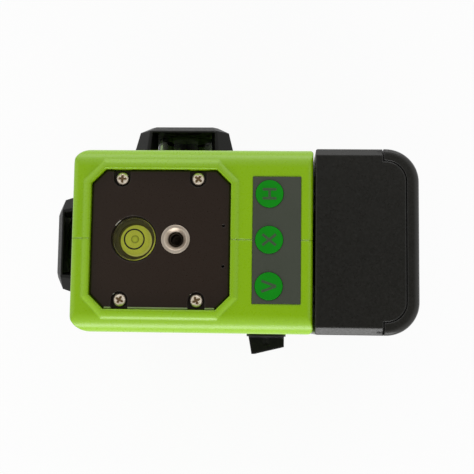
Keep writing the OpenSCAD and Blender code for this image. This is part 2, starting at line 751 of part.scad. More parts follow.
// Chassis under the plate, with the two lugs that carry the outer pivots.
module chassis() {
    color(zinc) difference() {
        union() {
            difference() {
                box(chassis_x0, chassis_x1, -chassis_y, chassis_y, chassis_z0, chassis_z1);
                box(chassis_x0 + 4, chassis_x1 - 5, -lug_in + 3, lug_in - 3, chassis_z0 - 1, chassis_z1 + 1);
            }
            for (p = plate_screw_xy) rod_z(chassis_z0 - 2, plate_z0, p[0], p[1], plate_boss_r);
            for (s = [-1, 1]) box(-lug_w / 2, lug_w / 2, s > 0 ? lug_in : -lug_in - lug_t,
                s > 0 ? lug_in + lug_t : -lug_in, pivot_z - bearing_r - 2, chassis_z1);
        }
        for (p = plate_screw_xy) rod_z(chassis_z0 - 3, plate_z0 + 1, p[0], p[1], screw_r);
        for (s = [-1, 1]) rod_y(s > 0 ? lug_in - 1 : -lug_in - bearing_w, s > 0 ? lug_in + bearing_w : -lug_in + 1,
            0, pivot_z, bearing_r);
        rod_y(-far, far, 0, pivot_z, pin_r + 0.6);
    }
}
module bearing_ring(y0, y1) {
    difference() {
        rod_y(y0, y1, 0, pivot_z, bearing_r);
        rod_y(y0 - 1, y1 + 1, 0, pivot_z, pin_r + run_gap);
    }
}
module outer_bearings() {
    color(steel) {
        bearing_ring(lug_in, lug_in + bearing_w);
        bearing_ring(-lug_in - bearing_w, -lug_in);
    }
}
module gimbal_ring() {
    color(zinc) difference() {
        rod_z(pivot_z - ring_h / 2, pivot_z + ring_h / 2, 0, 0, ring_r);
        rod_z(pivot_z - ring_h, pivot_z + ring_h, 0, 0, ring_in);
        rod_y(-far, far, 0, pivot_z, pin_r);
        rod_x(-ring_in - bearing_w - 0.5, ring_in + bearing_w + 0.5, 0, pivot_z, bearing_r);
    }
}
module ring_pins() {
    color(steel) for (s = [-1, 1]) rod_y(s > 0 ? ring_in + 0.5 : -lug_in - bearing_w, s > 0 ? lug_in + bearing_w
        : -ring_in - 0.5, 0, pivot_z, pin_r);
}
module inner_bearings() {
    color(steel) rotate(90) {
        bearing_ring(ring_in + 0.5, ring_in + 0.5 + bearing_w);
        bearing_ring(-ring_in - 0.5 - bearing_w, -ring_in - 0.5);
    }
}

// Pendulum: head in the ring, stem, and a block with a seat for each barrel.
module pendulum_block() {
    color(zinc) difference() {
        union() {
            box(-head_w / 2, head_w / 2, -head_w / 2, head_w / 2, pivot_z - 4, pivot_z + 4);
            rod_z(beam_z + block_w / 2 - 1, pivot_z, 0, 0, stem_r);
            box(-block_w / 2, block_w / 2, -block_w / 2, block_w / 2, beam_z - block_w / 2, beam_z + block_w / 2);
        }
        to_front() rod_z(block_w / 2 - seat_d, block_w, 0, 0, barrel_r);
        to_side() rod_z(block_w / 2 - seat_d, block_w, 0, 0, barrel_r);
        to_base() rod_z(block_w / 2 - seat_d, block_w, 0, 0, barrel_r);
        rod_x(head_w / 2 - 4, head_w, 0, pivot_z, pin_r);
        rod_x(-head_w, -head_w / 2 + 4, 0, pivot_z, pin_r);
        for (z = [-1, 1]) {
            rod_x(block_w / 2 - 5, block_w, 0, beam_z + z * 9, screw_r);
            rod_y(-block_w, -block_w / 2 + 5, 0, beam_z + z * 9, screw_r);
        }
    }
}
module pendulum_pins() {
    color(steel) {
        rod_x(head_w / 2 - 4, ring_in + 0.5 + bearing_w, 0, pivot_z, pin_r);
        rod_x(-ring_in - 0.5 - bearing_w, -head_w / 2 + 4, 0, pivot_z, pin_r);
    }
}

// Laser barrel along +Z from its seat in the block to its tip, which holds the cone tube.
module barrel(u1) {
    color(brass) difference() {
        union() {
            rod_z(block_w / 2 - seat_d, u1, 0, 0, barrel_r - 0.5);
            rod_z(block_w / 2 - seat_d, block_w / 2 + 4, 0, 0, barrel_r);
            rod_z(u1 - 9, u1, 0, 0, barrel_r);
        }
        rod_z(block_w / 2 - seat_d - 1, u1 + 1, 0, 0, beam_r);
        rod_z(u1 - 3, u1 + 1, 0, 0, tube_r);
    }
}
module front_barrel_tube() {
    to_front() barrel(front_barrel);
}
module side_barrel_tube() {
    to_side() barrel(side_barrel);
}
module down_barrel_tube() {
    to_base() barrel(down_barrel);
}
module diode() {
    rod_z(block_w / 2 - seat_d, block_w / 2 - seat_d + 1.4, 0, 0, beam_r);
    rod_z(block_w / 2 - seat_d + 1.3, block_w / 2 - seat_d + 4.6, 0, 0, beam_r - 0.9);
}
module laser_diodes() {
    color(steel) {
        to_front() diode();
        to_side() diode();
        to_base() diode();
    }
}
module collimators() {
    color(clear) {
        to_front() rod_z(front_barrel - 8, front_barrel - 5.6, 0, 0, beam_r);
        to_side() rod_z(side_barrel - 8, side_barrel - 5.6, 0, 0, beam_r);
        to_base() rod_z(down_barrel - 8, down_barrel - 5.6, 0, 0, beam_r);
    }
}
module cone_holder(u0, u1) {
    difference() {
        rod_z(u0 - 3, u1, 0, 0, tube_r);
        rod_z(u0 - 4, u1 + 1, 0, 0, cone_r + 0.4);
        rod_z(u1 - 0.9, u1 + 1, 0, 0, cone_r + 0.8);
    }
}
module cone_holders() {
    color(clear) {
        to_front() cone_holder(front_barrel, front_tip);
        to_side() cone_holder(side_barrel, side_tip);
        to_base() cone_holder(down_barrel, down_tip);
    }
}
module cone(u1) {
    translate([0, 0, u1 - 0.9 - cone_r]) cylinder(h = cone_r + 0.01, r1 = 0, r2 = cone_r);
    rod_z(u1 - 0.9, u1, 0, 0, cone_r + 0.8);
}
module cone_mirrors() {
    color(steel) {
        to_front() cone(front_tip);
        to_side() cone(side_tip);
        to_base() cone(down_tip);
    }
}
module balance_weights() {
    color(brass) {
        box(block_w / 2, block_w / 2 + weight_x_t, -block_w / 2 + 1, block_w / 2 - 1, beam_z - weight_h / 2,
            beam_z + weight_h / 2 - 6);
        box(-block_w / 2 + 1, block_w / 2 - 1, -block_w / 2 - weight_y_t, -block_w / 2, beam_z - weight_h / 2,
            beam_z + weight_h / 2 - 6);
    }
}
module damper_disc() {
    color(zinc) difference() {
        union() {
            rod_z(disc_z, disc_z + disc_t, 0, 0, disc_r);
            rod_z(disc_z, disc_z + disc_t + 4, 0, 0, barrel_r + 2);
        }
        rod_z(disc_z - 1, disc_z + disc_t + 6, 0, 0, barrel_r - 0.5);
    }
}
module damper_magnets() {
    color(steel) for (a = [45:90:315]) rotate(a) rod_z(disc_z - magnet_h, disc_z, magnet_ring, 0, magnet_r);
}
module damping_plate() {
    color(copper) difference() {
        rod_z(zi, zi + damper_t, 0, 0, spigot_r + 7);
        rod_z(zi - 1, zi + damper_t + 1, 0, 0, glass_r - glass_wall + 0.6);
    }
}

// Window frame along +Z: spigot, flange, four corner posts and a bevelled cap.
module window_frame(h) {
    neck_h = h - cap_bevel;
    gap_u1 = h - cap_t;
    difference() {
        union() {
            rod_z(-case_wall, 0.1, 0, 0, spigot_r);
            taper_oct(frame_base, frame_base, frame_corner, neck_h, (frame_neck - frame_base) / 2,
                (frame_neck - frame_base) / 2);
            translate([0, 0, neck_h]) taper_oct(frame_neck, frame_neck, frame_corner + (frame_neck - frame_base) * 0.3,
                cap_bevel, (frame_face - frame_neck) / 2, (frame_face - frame_neck) / 2);
        }
        rod_z(-case_wall - 1, gap_u1 + glass_seat, 0, 0, glass_r);
        for (a = [0:90:270]) rotate(a) translate([0, 0, gap_u0]) linear_extrude(gap_u1 - gap_u0)
            polygon([[0, -slot_w / 2], [glass_r * 0.7, -slot_w / 2], [frame_base, -slot_w / 2 - slot_flare * 3.4],
                [frame_base, slot_w / 2 + slot_flare * 3.4], [glass_r * 0.7, slot_w / 2], [0, slot_w / 2]]);
    }
}
module window_glass(u0, h) {
    gap_u1 = h - cap_t;
    difference() {
        rod_z(u0 - case_wall, u0 + gap_u1 + glass_seat, 0, 0, glass_r);
        rod_z(u0 - case_wall - 1, u0 + gap_u1 + glass_seat + 1, 0, 0, glass_r - glass_wall);
    }
}
module front_window_frame() {
    color(black) to_front() translate([0, 0, axis_front]) window_frame(front_frame_h);
}
module side_window_frame() {
    color(black) to_side() translate([0, 0, ys]) window_frame(frame_h);
}
module front_window_glass() {
    color(clear) to_front() window_glass(axis_front, front_frame_h);
}
module side_window_glass() {
    color(clear) to_side() window_glass(ys, frame_h);
}

// Foot: flange against the case, four posts round the window gap, and a sole block.
module base_frame() {
    color(black) difference() {
        union() {
            intersection() {
                translate([foot_x, 0, 0]) taper_oct(foot_len - 2 * foot_draft, foot_w - 2 * foot_draft, foot_corner,
                    zb, foot_draft, foot_draft);
                union() {
                    box(-far, far, -far, far, 0, sole_h);
                    box(-far, far, -far, far, zb - foot_flange_t, zb);
                    for (p = foot_screw_xy) rod_z(sole_h - 1, zb, p[0], p[1], post_r);
                }
            }
            rod_z(zb - 0.1, zi, 0, 0, spigot_r);
        }
        rod_z(sole_h - glass_seat, zi + 1, 0, 0, glass_r);
        rod_z(-1, foot_insert_len, 0, 0, insert_r);
        rod_z(-1, sole_h, 0, 0, thread_r + 0.8);
        for (p = foot_screw_xy) {
            rod_z(-1, zb + 1, p[0], p[1], screw_r + screw_gap);
            rod_z(-1, screw_head_h + 1, p[0], p[1], boss_cb_r);
        }
    }
}
module base_window_glass() {
    color(clear) difference() {
        rod_z(sole_h - glass_seat, zi, 0, 0, glass_r);
        rod_z(sole_h - glass_seat - 1, zi + 1, 0, 0, glass_r - glass_wall);
    }
}
module base_insert() {
    color(brass) difference() {
        rod_z(0, foot_insert_len, 0, 0, insert_r);
        rod_z(-1, foot_insert_len + 1, 0, 0, thread_r);
    }
}
module base_screws() {
    color(steel) for (p = foot_screw_xy) translate([p[0], p[1], screw_head_h + 1]) rotate([180, 0, 0])
        screw(zi + foot_boss_h - 2 - screw_head_h - 1);
}

// Lock: lever outside, shaft with a crank pin, and a yoke plunger that stills the pendulum.
module lock_bush() {
    color(brass) difference() {
        rod_y(-ys, -ys + case_wall + bush_len - 3, lock_x, beam_z, bush_r);
        rod_y(-far, far, lock_x, beam_z, shaft_r + run_gap);
    }
}
module lock_lever() {
    color(black) difference() {
        union() {
            rod_y(-ys - slide_gap - hub_t, -ys - slide_gap, lock_x, beam_z, hub_r);
            translate([lock_x, 0, beam_z - fin_t / 2]) linear_extrude(fin_t) polygon([
                [-fin_len / 2, -ys - slide_gap - 0.1], [-fin_len / 2 + 1.6, -ys - fin_tall],
                [-fin_len / 2 + 3, -ys - fin_tall], [fin_len / 2, -ys - fin_low], [fin_len / 2, -ys - slide_gap - 0.1]]);
        }
        rod_y(-ys - 5, -ys + 1, lock_x, beam_z, shaft_r);
    }
}
module lock_shaft() {
    color(steel) {
        rod_y(-ys - 5, shaft_end - 1, lock_x, beam_z, shaft_r);
        along_y(shaft_end - 3, shaft_end) translate([lock_x, beam_z]) {
            circle(shaft_r + 1);
            rotate(lock_a0) translate([0, -crank_pin_r - 0.5]) square([crank, 2 * crank_pin_r + 1]);
            rotate(lock_a0) translate([crank, 0]) circle(crank_pin_r + 1);
        }
        rod_y(shaft_end - 1, yoke_y, lock_x + pin_dx, beam_z + pin_dz, crank_pin_r);
    }
}
module lock_plunger() {
    color(zinc) {
        rod_x(pad_x1, yoke_x0 + 1, 0, beam_z, rod_r);
        difference() {
            box(yoke_x0, yoke_x1, -yoke_y, yoke_y, beam_z - rod_r - 2, beam_z + crank + crank_pin_r + slide_gap + 3);
            box(lock_x + pin_dx - crank_pin_r - slide_gap, lock_x + pin_dx + crank_pin_r + slide_gap, -far, far,
                beam_z + pin_dz - crank_pin_r - slide_gap, beam_z + crank + crank_pin_r + slide_gap);
        }
    }
}
module lock_pad() {
    color(rubber) rod_x(pad_x0, pad_x1, 0, beam_z, rod_r + 1.5);
}

// Contacts between the case and the pack.
module contact_carrier() {
    color(black) difference() {
        union() {
            box(carrier_x0, carrier_x0 + 4, -carrier_half, carrier_half, plug_z - 7, plug_z + 7);
            for (s = [-1, 1]) box(carrier_x0, xi, s > 0 ? plug_half + 1 : -carrier_half, s > 0 ? carrier_half
                : -plug_half - 1, plug_z - 7, plug_z + 7);
        }
        for (y = [-9, 0, 9]) box(carrier_x0 - 1, carrier_x0 + 5, y - 0.5, y + 0.5, plug_z - 4, plug_z + 4);
    }
}
module contact_blades() {
    color(brass) for (y = [-9, 0, 9]) box(carrier_x0 - 2, carrier_x1, y - 0.5, y + 0.5, plug_z - 4, plug_z + 4);
}

// Battery pack: shell with chamfered long edges, rounded core and a plug, inside an end band.
module pack_form(i) {
    intersection() {
        along_x(px0 + i, px_mid) polygon([
            [-ys + pack_chamfer, zb + i], [ys - pack_chamfer, zb + i], [ys - i, zb + pack_chamfer],
            [ys - i, zt - pack_chamfer], [ys - pack_chamfer, zt - i], [-ys + pack_chamfer, zt - i],
            [-ys + i, zt - pack_chamfer], [-ys + i, zb + pack_chamfer]]);
        translate([0, 0, zb - 1]) linear_extrude(zt - zb + 2) round_rect(px0 + i, px1, -ys, ys, [1, 1, 1, 1]);
    }
    translate([0, 0, zb + i]) linear_extrude(zt - zb - 2 * i) round_rect(px_mid - 4, px_core - i,
        -core_half + i, core_half - i, [1, core_r - i, core_r - i, 1]);
}
module pack_body() {
    color(black) difference() {
        union() {
            difference() {
                pack_form(0);
                pack_form(pack_wall);
            }
            difference() {
                box(px0 - plug_len, px0 + 1, -plug_half, plug_half, plug_z - plug_h / 2, plug_z + plug_h / 2);
                for (y = [-9, 0, 9]) box(px0 - plug_len - 1, px0 - plug_len + 1, y - 1.5, y + 1.5, plug_z - 5,
                    plug_z + 5);
            }
            box(px_mid - pack_wall, px_mid, -ys + 1, -core_half + 1, zb + 1.5, zt - 1.5);
            box(px_mid - pack_wall, px_mid, core_half - 1, ys - 1, zb + 1.5, zt - 1.5);
            for (y = [-1, 1], z = [-1, 1]) rod_x(pack_board_x + board_t, px_core - 1, y * 20, (zb + zt) / 2 + z * 20, 3);
            for (y = [-1, 1], z = cell_z) box(px0 + 1, cell_x, y * 20 - 1.5, y * 20 + 1.5, z - cell_r - 0.6, z);
        }
        for (z = cell_z) rod_y(-cell_len / 2, cell_len / 2, cell_x, z, cell_r);
        for (s = [-1, 1]) box(cell_x - strap_w / 2 - slide_gap, cell_x + strap_w / 2 + slide_gap,
            s > 0 ? cell_len / 2 : -cell_len / 2 - strap_t - slide_gap,
            s > 0 ? cell_len / 2 + strap_t + slide_gap : -cell_len / 2, cell_z[0] - cell_r, cell_z[2] + cell_r);
        box(latch_x0 + 1, latch_x1 - 2, -latch_half, latch_half, zb - 1, zb + pack_wall + 1);
        box(px0 - 1, px0 + pack_wall + 1, -latch_half + 2.6, latch_half - 2.6, latch_z + 0.7,
            latch_z + 1.5 + latch_hook_h + latch_travel + 0.6);
        along_x(socket_x0 - 1, px1) round_rect(-socket_w / 2, socket_w / 2, socket_z - socket_h / 2,
            socket_z + socket_h / 2, [1.5, 1.5, 1.5, 1.5]);
    }
}

// End band bent round the back of the pack, with its edges rounded along the bend.
module band_profile(o) {
    difference() {
        translate([o - band_t, zb]) square([band_t, zt - zb]);
        translate([o - band_edge_r, zb]) square(band_edge_r);
        translate([o - band_edge_r, zt - band_edge_r]) square(band_edge_r);
    }
    translate([o - band_edge_r, zb + band_edge_r]) circle(band_edge_r);
    translate([o - band_edge_r, zt - band_edge_r]) circle(band_edge_r);
}
module pack_end_band() {
    bx = px1 - band_corner_r;
    by = ys - band_corner_r;
    color(black) difference() {
        union() {
            along_x(px_mid + band_groove, bx) band_profile(ys);
            mirror([0, 1, 0]) along_x(px_mid + band_groove, bx) band_profile(ys);
            along_y(-by, by) band_profile(px1);
            translate([bx, by, 0]) rotate_extrude(angle = 90) band_profile(band_corner_r);
            translate([bx, -by, 0]) rotate(-90) rotate_extrude(angle = 90) band_profile(band_corner_r);
            for (z = [zb + 8, zt - 12]) box(px_core - 0.1, px1 - 2, -8, 8, z, z + 2);
        }
        along_x(socket_x0, px1 + 1) round_rect(-socket_w / 2, socket_w / 2, socket_z - socket_h / 2,
            socket_z + socket_h / 2, [1.5, 1.5, 1.5, 1.5]);
    }
}
module battery_cells() {
    color(cell_blue) for (z = cell_z) rod_y(-cell_len / 2, cell_len / 2, cell_x, z, cell_r);
}
module cell_straps() {
    color(steel) {
        box(cell_x - strap_w / 2, cell_x + strap_w / 2, cell_len / 2, cell_len / 2 + strap_t, cell_z[0] - strap_w / 2,
            cell_z[1] + strap_w / 2);
        box(cell_x - strap_w / 2, cell_x + strap_w / 2, -cell_len / 2 - strap_t, -cell_len / 2,
            cell_z[1] - strap_w / 2, cell_z[2] + strap_w / 2);
    }
}
module pack_board() {
    color(board_green) box(pack_board_x, pack_board_x + board_t, -guard_w / 2, guard_w / 2,
        (zb + zt) / 2 - guard_h / 2, (zb + zt) / 2 + guard_h / 2);
}
module pack_contacts() {
    color(brass) for (y = [-9, 0, 9]) box(px0 - plug_len + 0.6, px0 - plug_len + 1, y - 1.5, y + 1.5, plug_z - 5,
        plug_z + 5);
}
module charge_socket() {
    color(steel) difference() {
        along_x(socket_x0, socket_x1) round_rect(-socket_w / 2, socket_w / 2, socket_z - socket_h / 2,
            socket_z + socket_h / 2, [1.5, 1.5, 1.5, 1.5]);
        along_x(socket_x0 + 2, socket_x1 + 1) round_rect(-socket_w / 2 + 0.4, socket_w / 2 - 0.4,
            socket_z - socket_h / 2 + 0.4, socket_z + socket_h / 2 - 0.4, [1.1, 1.1, 1.1, 1.1]);
    }
}

// Latch under the pack: a button with a flange inside the shell and a hook toward the case.
module latch_button() {
    color(black) {
        box(latch_x0 + 1 + slide_gap, latch_x1 - 2 - slide_gap, -latch_half + slide_gap, latch_half - slide_gap,
            zb - 0.8, latch_z + 1);
        box(latch_x0, latch_x1, -latch_half - 1, latch_half + 1, latch_z, latch_z + 1.5);
        box(xr - case_wall + 0.6, latch_x0 + 2, -latch_half + 3, latch_half - 3, latch_z + 1.2,
            latch_z + 1.5 + latch_hook_h);
    }
}

case_left();
case_right();
case_screws();
top_plate();
plate_screws();
thread_insert();
vial_body();
vial_liquid();
keypad_label();
key_board();
key_switches();
board_screws();
main_board();
board_chips();
chassis();
outer_bearings();
front_window_frame();
front_window_glass();
side_window_frame();
side_window_glass();
base_frame();
base_window_glass();
base_insert();
base_screws();
damping_plate();
contact_carrier();
contact_blades();
lock_bush();
gimbal_ring();
ring_pins();
inner_bearings();
pendulum_block();
pendulum_pins();
front_barrel_tube();
side_barrel_tube();
down_barrel_tube();
laser_diodes();
collimators();
cone_holders();
cone_mirrors();
balance_weights();
damper_disc();
damper_magnets();
lock_lever();
lock_shaft();
lock_plunger();
lock_pad();
key_h();
key_mode();
key_v();
pack_body();
pack_end_band();
battery_cells();
cell_straps();
pack_board();
pack_contacts();
charge_socket();
latch_button();
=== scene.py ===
import json
import math
import bpy
import numpy as np
from mathutils import Matrix, Vector


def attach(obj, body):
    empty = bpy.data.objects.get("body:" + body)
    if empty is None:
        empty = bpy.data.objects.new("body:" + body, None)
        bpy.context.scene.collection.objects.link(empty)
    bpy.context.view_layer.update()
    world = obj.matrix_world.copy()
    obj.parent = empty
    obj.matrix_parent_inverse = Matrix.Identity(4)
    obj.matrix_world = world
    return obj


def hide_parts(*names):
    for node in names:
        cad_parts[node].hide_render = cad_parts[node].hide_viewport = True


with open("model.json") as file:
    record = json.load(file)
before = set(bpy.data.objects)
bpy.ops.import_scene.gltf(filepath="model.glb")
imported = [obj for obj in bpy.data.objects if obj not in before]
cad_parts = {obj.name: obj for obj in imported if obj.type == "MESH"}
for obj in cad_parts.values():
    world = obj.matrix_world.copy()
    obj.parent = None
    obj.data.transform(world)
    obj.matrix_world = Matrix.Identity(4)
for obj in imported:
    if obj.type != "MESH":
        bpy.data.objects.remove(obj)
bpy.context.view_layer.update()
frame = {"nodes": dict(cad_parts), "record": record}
nodes = frame["nodes"]
slotOf = {row["node"]: row["material_slot"] for row in frame["record"]["subparts"]}
scene = bpy.context.scene
scene.view_settings.view_transform = "Standard"
mm = 0.001
print("frame loaded,", len(nodes), "nodes")


# camera, straight above the level and a little towards the battery
cameraFit = {
    "place": (0.04207, -0.03609, 0.4750),
    "turnX": -0.09974,  # radians
    "turnY": -0.04377,
    "turnZ": -0.01375,
    "focalPixels": 896.0,
    "imagePixels": 474,
    "sensorWidth": 36,
    "nearest": 0.01,
    "farthest": 20,
}


def makeCamera(fit):
    data = bpy.data.cameras.new("overheadCamera")
    data.sensor_width = fit["sensorWidth"]
    data.sensor_fit = "HORIZONTAL"
    data.lens = fit["focalPixels"] / fit["imagePixels"] * fit["sensorWidth"]
    data.clip_start = fit["nearest"]
    data.clip_end = fit["farthest"]
    camera = bpy.data.objects.new("overheadCamera", data)
    scene.collection.objects.link(camera)
    worldToCamera = (Matrix.Rotation(fit["turnZ"], 3, "Z") @ Matrix.Rotation(fit["turnX"], 3, "X")
                     @ Matrix.Rotation(fit["turnY"], 3, "Y"))
    camera.matrix_world = Matrix.Translation(fit["place"]) @ worldToCamera.transposed().to_4x4()
    scene.camera = camera


makeCamera(cameraFit)
print("camera placed")


# one node of a material, with plain values or sockets for its inputs
def put(tree, kind, inputs=None, **settings):
    node = tree.nodes.new("ShaderNode" + kind)
    for key, value in settings.items():
        setattr(node, key, value)
    for key, value in (inputs or {}).items():
        if isinstance(value, bpy.types.NodeSocket):
            tree.links.new(value, node.inputs[key])
        else:
            node.inputs[key].default_value = value
    return node


def blend(tree, factor, first, second):
    first, second = ((*tone, 1) if isinstance(tone, tuple) else tone for tone in (first, second))
    return put(tree, "Mix", {0: factor, 6: first, 7: second}, data_type="RGBA").outputs[2]


# a value from low to high becomes one between two levels, and stops there
def ramp(tree, value, low=0.0, high=1.0, levelLow=0.0, levelHigh=1.0):
    return put(tree, "MapRange", {"Value": value, "From Min": low, "From Max": high,
                                  "To Min": levelLow, "To Max": levelHigh}).outputs[0]


def noise(tree, where, scale, detail, warp=0.0):
    return put(tree, "TexNoise", {"Vector": where, "Scale": scale, "Detail": detail,
                                  "Distortion": warp}).outputs["Fac"]


def number(tree, operation, *values):
    return put(tree, "Math", dict(enumerate(values)), operation=operation).outputs[0]


def vector(tree, operation, *values):
    node = put(tree, "VectorMath", dict(enumerate(values)), operation=operation)
    return node.outputs["Value" if operation == "LENGTH" else "Vector"]


def newFinish(name):
    material = bpy.data.materials.new(name)
    material.use_nodes = True
    tree = material.node_tree
    tree.nodes.clear()
    shader = put(tree, "BsdfPrincipled")
    put(tree, "OutputMaterial", {"Surface": shader.outputs[0]})
    where = put(tree, "TexCoord").outputs["Object"]
    return material, tree, shader, where


def setShader(shader, **values):
    for key, value in values.items():
        socket = shader.inputs[key.replace("_", " ")]
        socket.default_value = (*value, 1) if isinstance(value, tuple) else value


# what the finishes share: details of the noises, and the part of each range that is used
finishShape = {
    "cloudDetail": 4.0,
    "fleckDetail": 2.0,
    "grainDetail": 3.0,
    "smearDetail": 3.0,
    "smearWarp": 0.6,
    "middleLow": 0.3,
    "middleHigh": 0.7,
    "fleckLow": 0.56,
    "fleckHigh": 0.72,
    "waveReach": 0.6,
    "ringStrength": 0.4,
    "smearLow": 0.35,
    "smearHigh": 0.75,
    "dotLow": 0.1,
    "dotHigh": 0.6,
    "dotDepth": 0.00003,
    "dotStrength": 0.3,
    "edgeSamples": 6,
    "coatRough": 0.2,
}


def driftTone(tree, cloud, look):
    drift = ramp(tree, cloud, finishShape["middleLow"], finishShape["middleHigh"])
    return blend(tree, drift, look["tone"], look["toneTwo"])


def roughen(tree, shader, value, low, high, look):
    rough = ramp(tree, value, low, high, look["roughLow"], look["roughHigh"])
    tree.links.new(rough, shader.inputs["Roughness"])


# bump over normals that an edge radius has rounded where faces meet
def addBump(tree, shader, height, depth, strength, edge):
    corner = put(tree, "Bevel", {"Radius": edge}, samples=finishShape["edgeSamples"])
    bump = put(tree, "Bump", {"Height": height, "Distance": depth, "Strength": strength,
                              "Normal": corner.outputs[0]})
    tree.links.new(bump.outputs[0], shader.inputs["Normal"])


# colour drifts between two tones and carries flecks, roughness follows the flecks,
# and fine grain gives the bump
def grainFinish(name, look):
    material, tree, shader, where = newFinish(name)
    cloud = noise(tree, where, look["cloudScale"], finishShape["cloudDetail"])
    fleck = noise(tree, where, look["fleckScale"], finishShape["fleckDetail"])
    grain = noise(tree, where, look["grainScale"], finishShape["grainDetail"])
    spot = ramp(tree, fleck, finishShape["fleckLow"], finishShape["fleckHigh"], 0.0, look["fleckMix"])
    tone = blend(tree, spot, driftTone(tree, cloud, look), look["fleckTone"])
    if "recessShadeTone" in look:  # painted shade: darker in the cross recess and round the head's rim, where the mesh has its recess attribute
        recess = put(tree, "Attribute", attribute_name="recess")
        tone = blend(tree, recess.outputs["Fac"], tone, look["recessShadeTone"])
    if "chamferGlintTone" in look:  # painted highlight: pale on the chamfer of the left edge, which leans half way to -Y, towards the window lamp
        lean = put(tree, "SeparateXYZ", {0: put(tree, "NewGeometry").outputs["True Normal"]})
        paintedGlint = number(tree, "COMPARE", lean.outputs["Y"], look["glintLean"], look["glintReach"])
        tone = blend(tree, paintedGlint, tone, look["chamferGlintTone"])
    tree.links.new(tone, shader.inputs["Base Color"])
    roughen(tree, shader, fleck, finishShape["middleLow"], finishShape["middleHigh"], look)
    addBump(tree, shader, grain, look["grainDepth"], look["grainStrength"], look["edge"])
    setShader(shader, Metallic=look.get("metal", 0.0), Coat_Weight=look.get("coat", 0.0),
              Coat_Roughness=finishShape["coatRough"], Specular_IOR_Level=look.get("specular", 0.5))
    return material


greenShell = {
    "tone": (0.250, 0.480, 0.002),
    "toneTwo": (0.266, 0.504, 0.003),
    "fleckTone": (0.282, 0.520, 0.006),
    "fleckMix": 0.25,
    "cloudScale": 26.0,
    "fleckScale": 900.0,
    "grainScale": 2300.0,
    "grainDepth": 0.00004,
    "grainStrength": 0.08,
    "roughLow": 0.26,
    "roughHigh": 0.32,
    "edge": 0.0011,
    "specular": 0.45,
}
blackShell = {
    "tone": (0.0074, 0.0070, 0.0051),
    "toneTwo": (0.0098, 0.0092, 0.0069),
    "fleckTone": (0.013, 0.012, 0.009),
    "fleckMix": 0.3,
    "cloudScale": 34.0,
    "fleckScale": 1100.0,
    "grainScale": 1900.0,
    "grainDepth": 0.00006,
    "grainStrength": 0.24,
    "roughLow": 0.27,
    "roughHigh": 0.38,
    "edge": 0.001,
    "specular": 0.42,
}
# darker, rougher copy of blackShell for the window frames and the lever: the darker tone is painted shade,
# the roughness and lower gloss are their own
shadedFrameBlack = {
    **blackShell,
    "tone": (0.0036, 0.0036, 0.0028),
    "toneTwo": (0.0052, 0.0052, 0.0042),
    "roughLow": 0.36,
    "roughHigh": 0.46,
    "edge": 0.0014,
    "specular": 0.16,
}
anodisedPlate = {
    "tone": (0.0215, 0.0130, 0.0086),
    "toneTwo": (0.0260, 0.0165, 0.0112),
    "fleckTone": (0.036, 0.026, 0.020),
    "fleckMix": 0.35,
    # painted highlight on the chamfer that faces the window lamp
    "chamferGlintTone": (0.62, 0.60, 0.55),
    "glintLean": -0.707,
    "glintReach": 0.1,
    "cloudScale": 18.0,
    "fleckScale": 2600.0,
    "grainScale": 3400.0,
    "grainDepth": 0.00003,
    "grainStrength": 0.3,
    "roughLow": 0.27,
    "roughHigh": 0.36,
    "edge": 0.0006,
    "specular": 0.3,
}
screwSteel = {
    "tone": (0.74, 0.64, 0.51),
    "toneTwo": (0.84, 0.75, 0.62),
    "fleckTone": (0.42, 0.31, 0.20),
    "fleckMix": 0.6,
    # painted shade for the screw heads' cross recesses and rims
    "recessShadeTone": (0.270, 0.175, 0.088),
    "cloudScale": 420.0,
    "fleckScale": 1700.0,
    "grainScale": 2600.0,
    "grainDepth": 0.00003,
    "grainStrength": 0.3,
    "roughLow": 0.36,
    "roughHigh": 0.52,
    "edge": 0.00025,
    "metal": 1.0,
}
castAlloy = {
    "tone": (0.42, 0.42, 0.43),
    "toneTwo": (0.52, 0.52, 0.52),
    "fleckTone": (0.30, 0.30, 0.31),
    "fleckMix": 0.6,
    "cloudScale": 120.0,
    "fleckScale": 1200.0,
    "grainScale": 1600.0,
    "grainDepth": 0.00008,
    "grainStrength": 0.5,
    "roughLow": 0.38,
    "roughHigh": 0.56,
    "edge": 0.0004,
    "metal": 1.0,
}
copperPlate = {
    "tone": (0.60, 0.26, 0.13),
    "toneTwo": (0.68, 0.33, 0.19),
    "fleckTone": (0.32, 0.15, 0.09),
    "fleckMix": 0.6,
    "cloudScale": 70.0,
    "fleckScale": 800.0,
    "grainScale": 2200.0,
    "grainDepth": 0.00003,
    "grainStrength": 0.3,
    "roughLow": 0.24,
    "roughHigh": 0.4,
    "edge": 0.0003,
    "metal": 1.0,
}
chipBlack = {
    "tone": (0.012, 0.012, 0.013),
    "toneTwo": (0.018, 0.018, 0.018),
    "fleckTone": (0.04, 0.04, 0.04),
    "fleckMix": 0.3,
    "cloudScale": 300.0,
    "fleckScale": 2400.0,
    "grainScale": 3200.0,
    "grainDepth": 0.00005,
    "grainStrength": 0.5,
    "roughLow": 0.45,
    "roughHigh": 0.6,
    "edge": 0.0002,
}
padRubber = {
    "tone": (0.016, 0.016, 0.017),
    "toneTwo": (0.024, 0.024, 0.025),
    "fleckTone": (0.05, 0.05, 0.05),
    "fleckMix": 0.4,
    "cloudScale": 160.0,
    "fleckScale": 1400.0,
    "grainScale": 2000.0,
    "grainDepth": 0.0001,
    "grainStrength": 0.6,
    "roughLow": 0.7,
    "roughHigh": 0.85,
    "edge": 0.0004,
    "specular": 0.3,
}
cellSleeve = {
    "tone": (0.03, 0.12, 0.36),
    "toneTwo": (0.04, 0.15, 0.42),
    "fleckTone": (0.10, 0.22, 0.50),
    "fleckMix": 0.25,
    "cloudScale": 60.0,
    "fleckScale": 700.0,
    "grainScale": 900.0,
    "grainDepth": 0.00005,
    "grainStrength": 0.25,
    "roughLow": 0.2,
    "roughHigh": 0.34,
    "edge": 0.0006,
    "coat": 0.3,
}
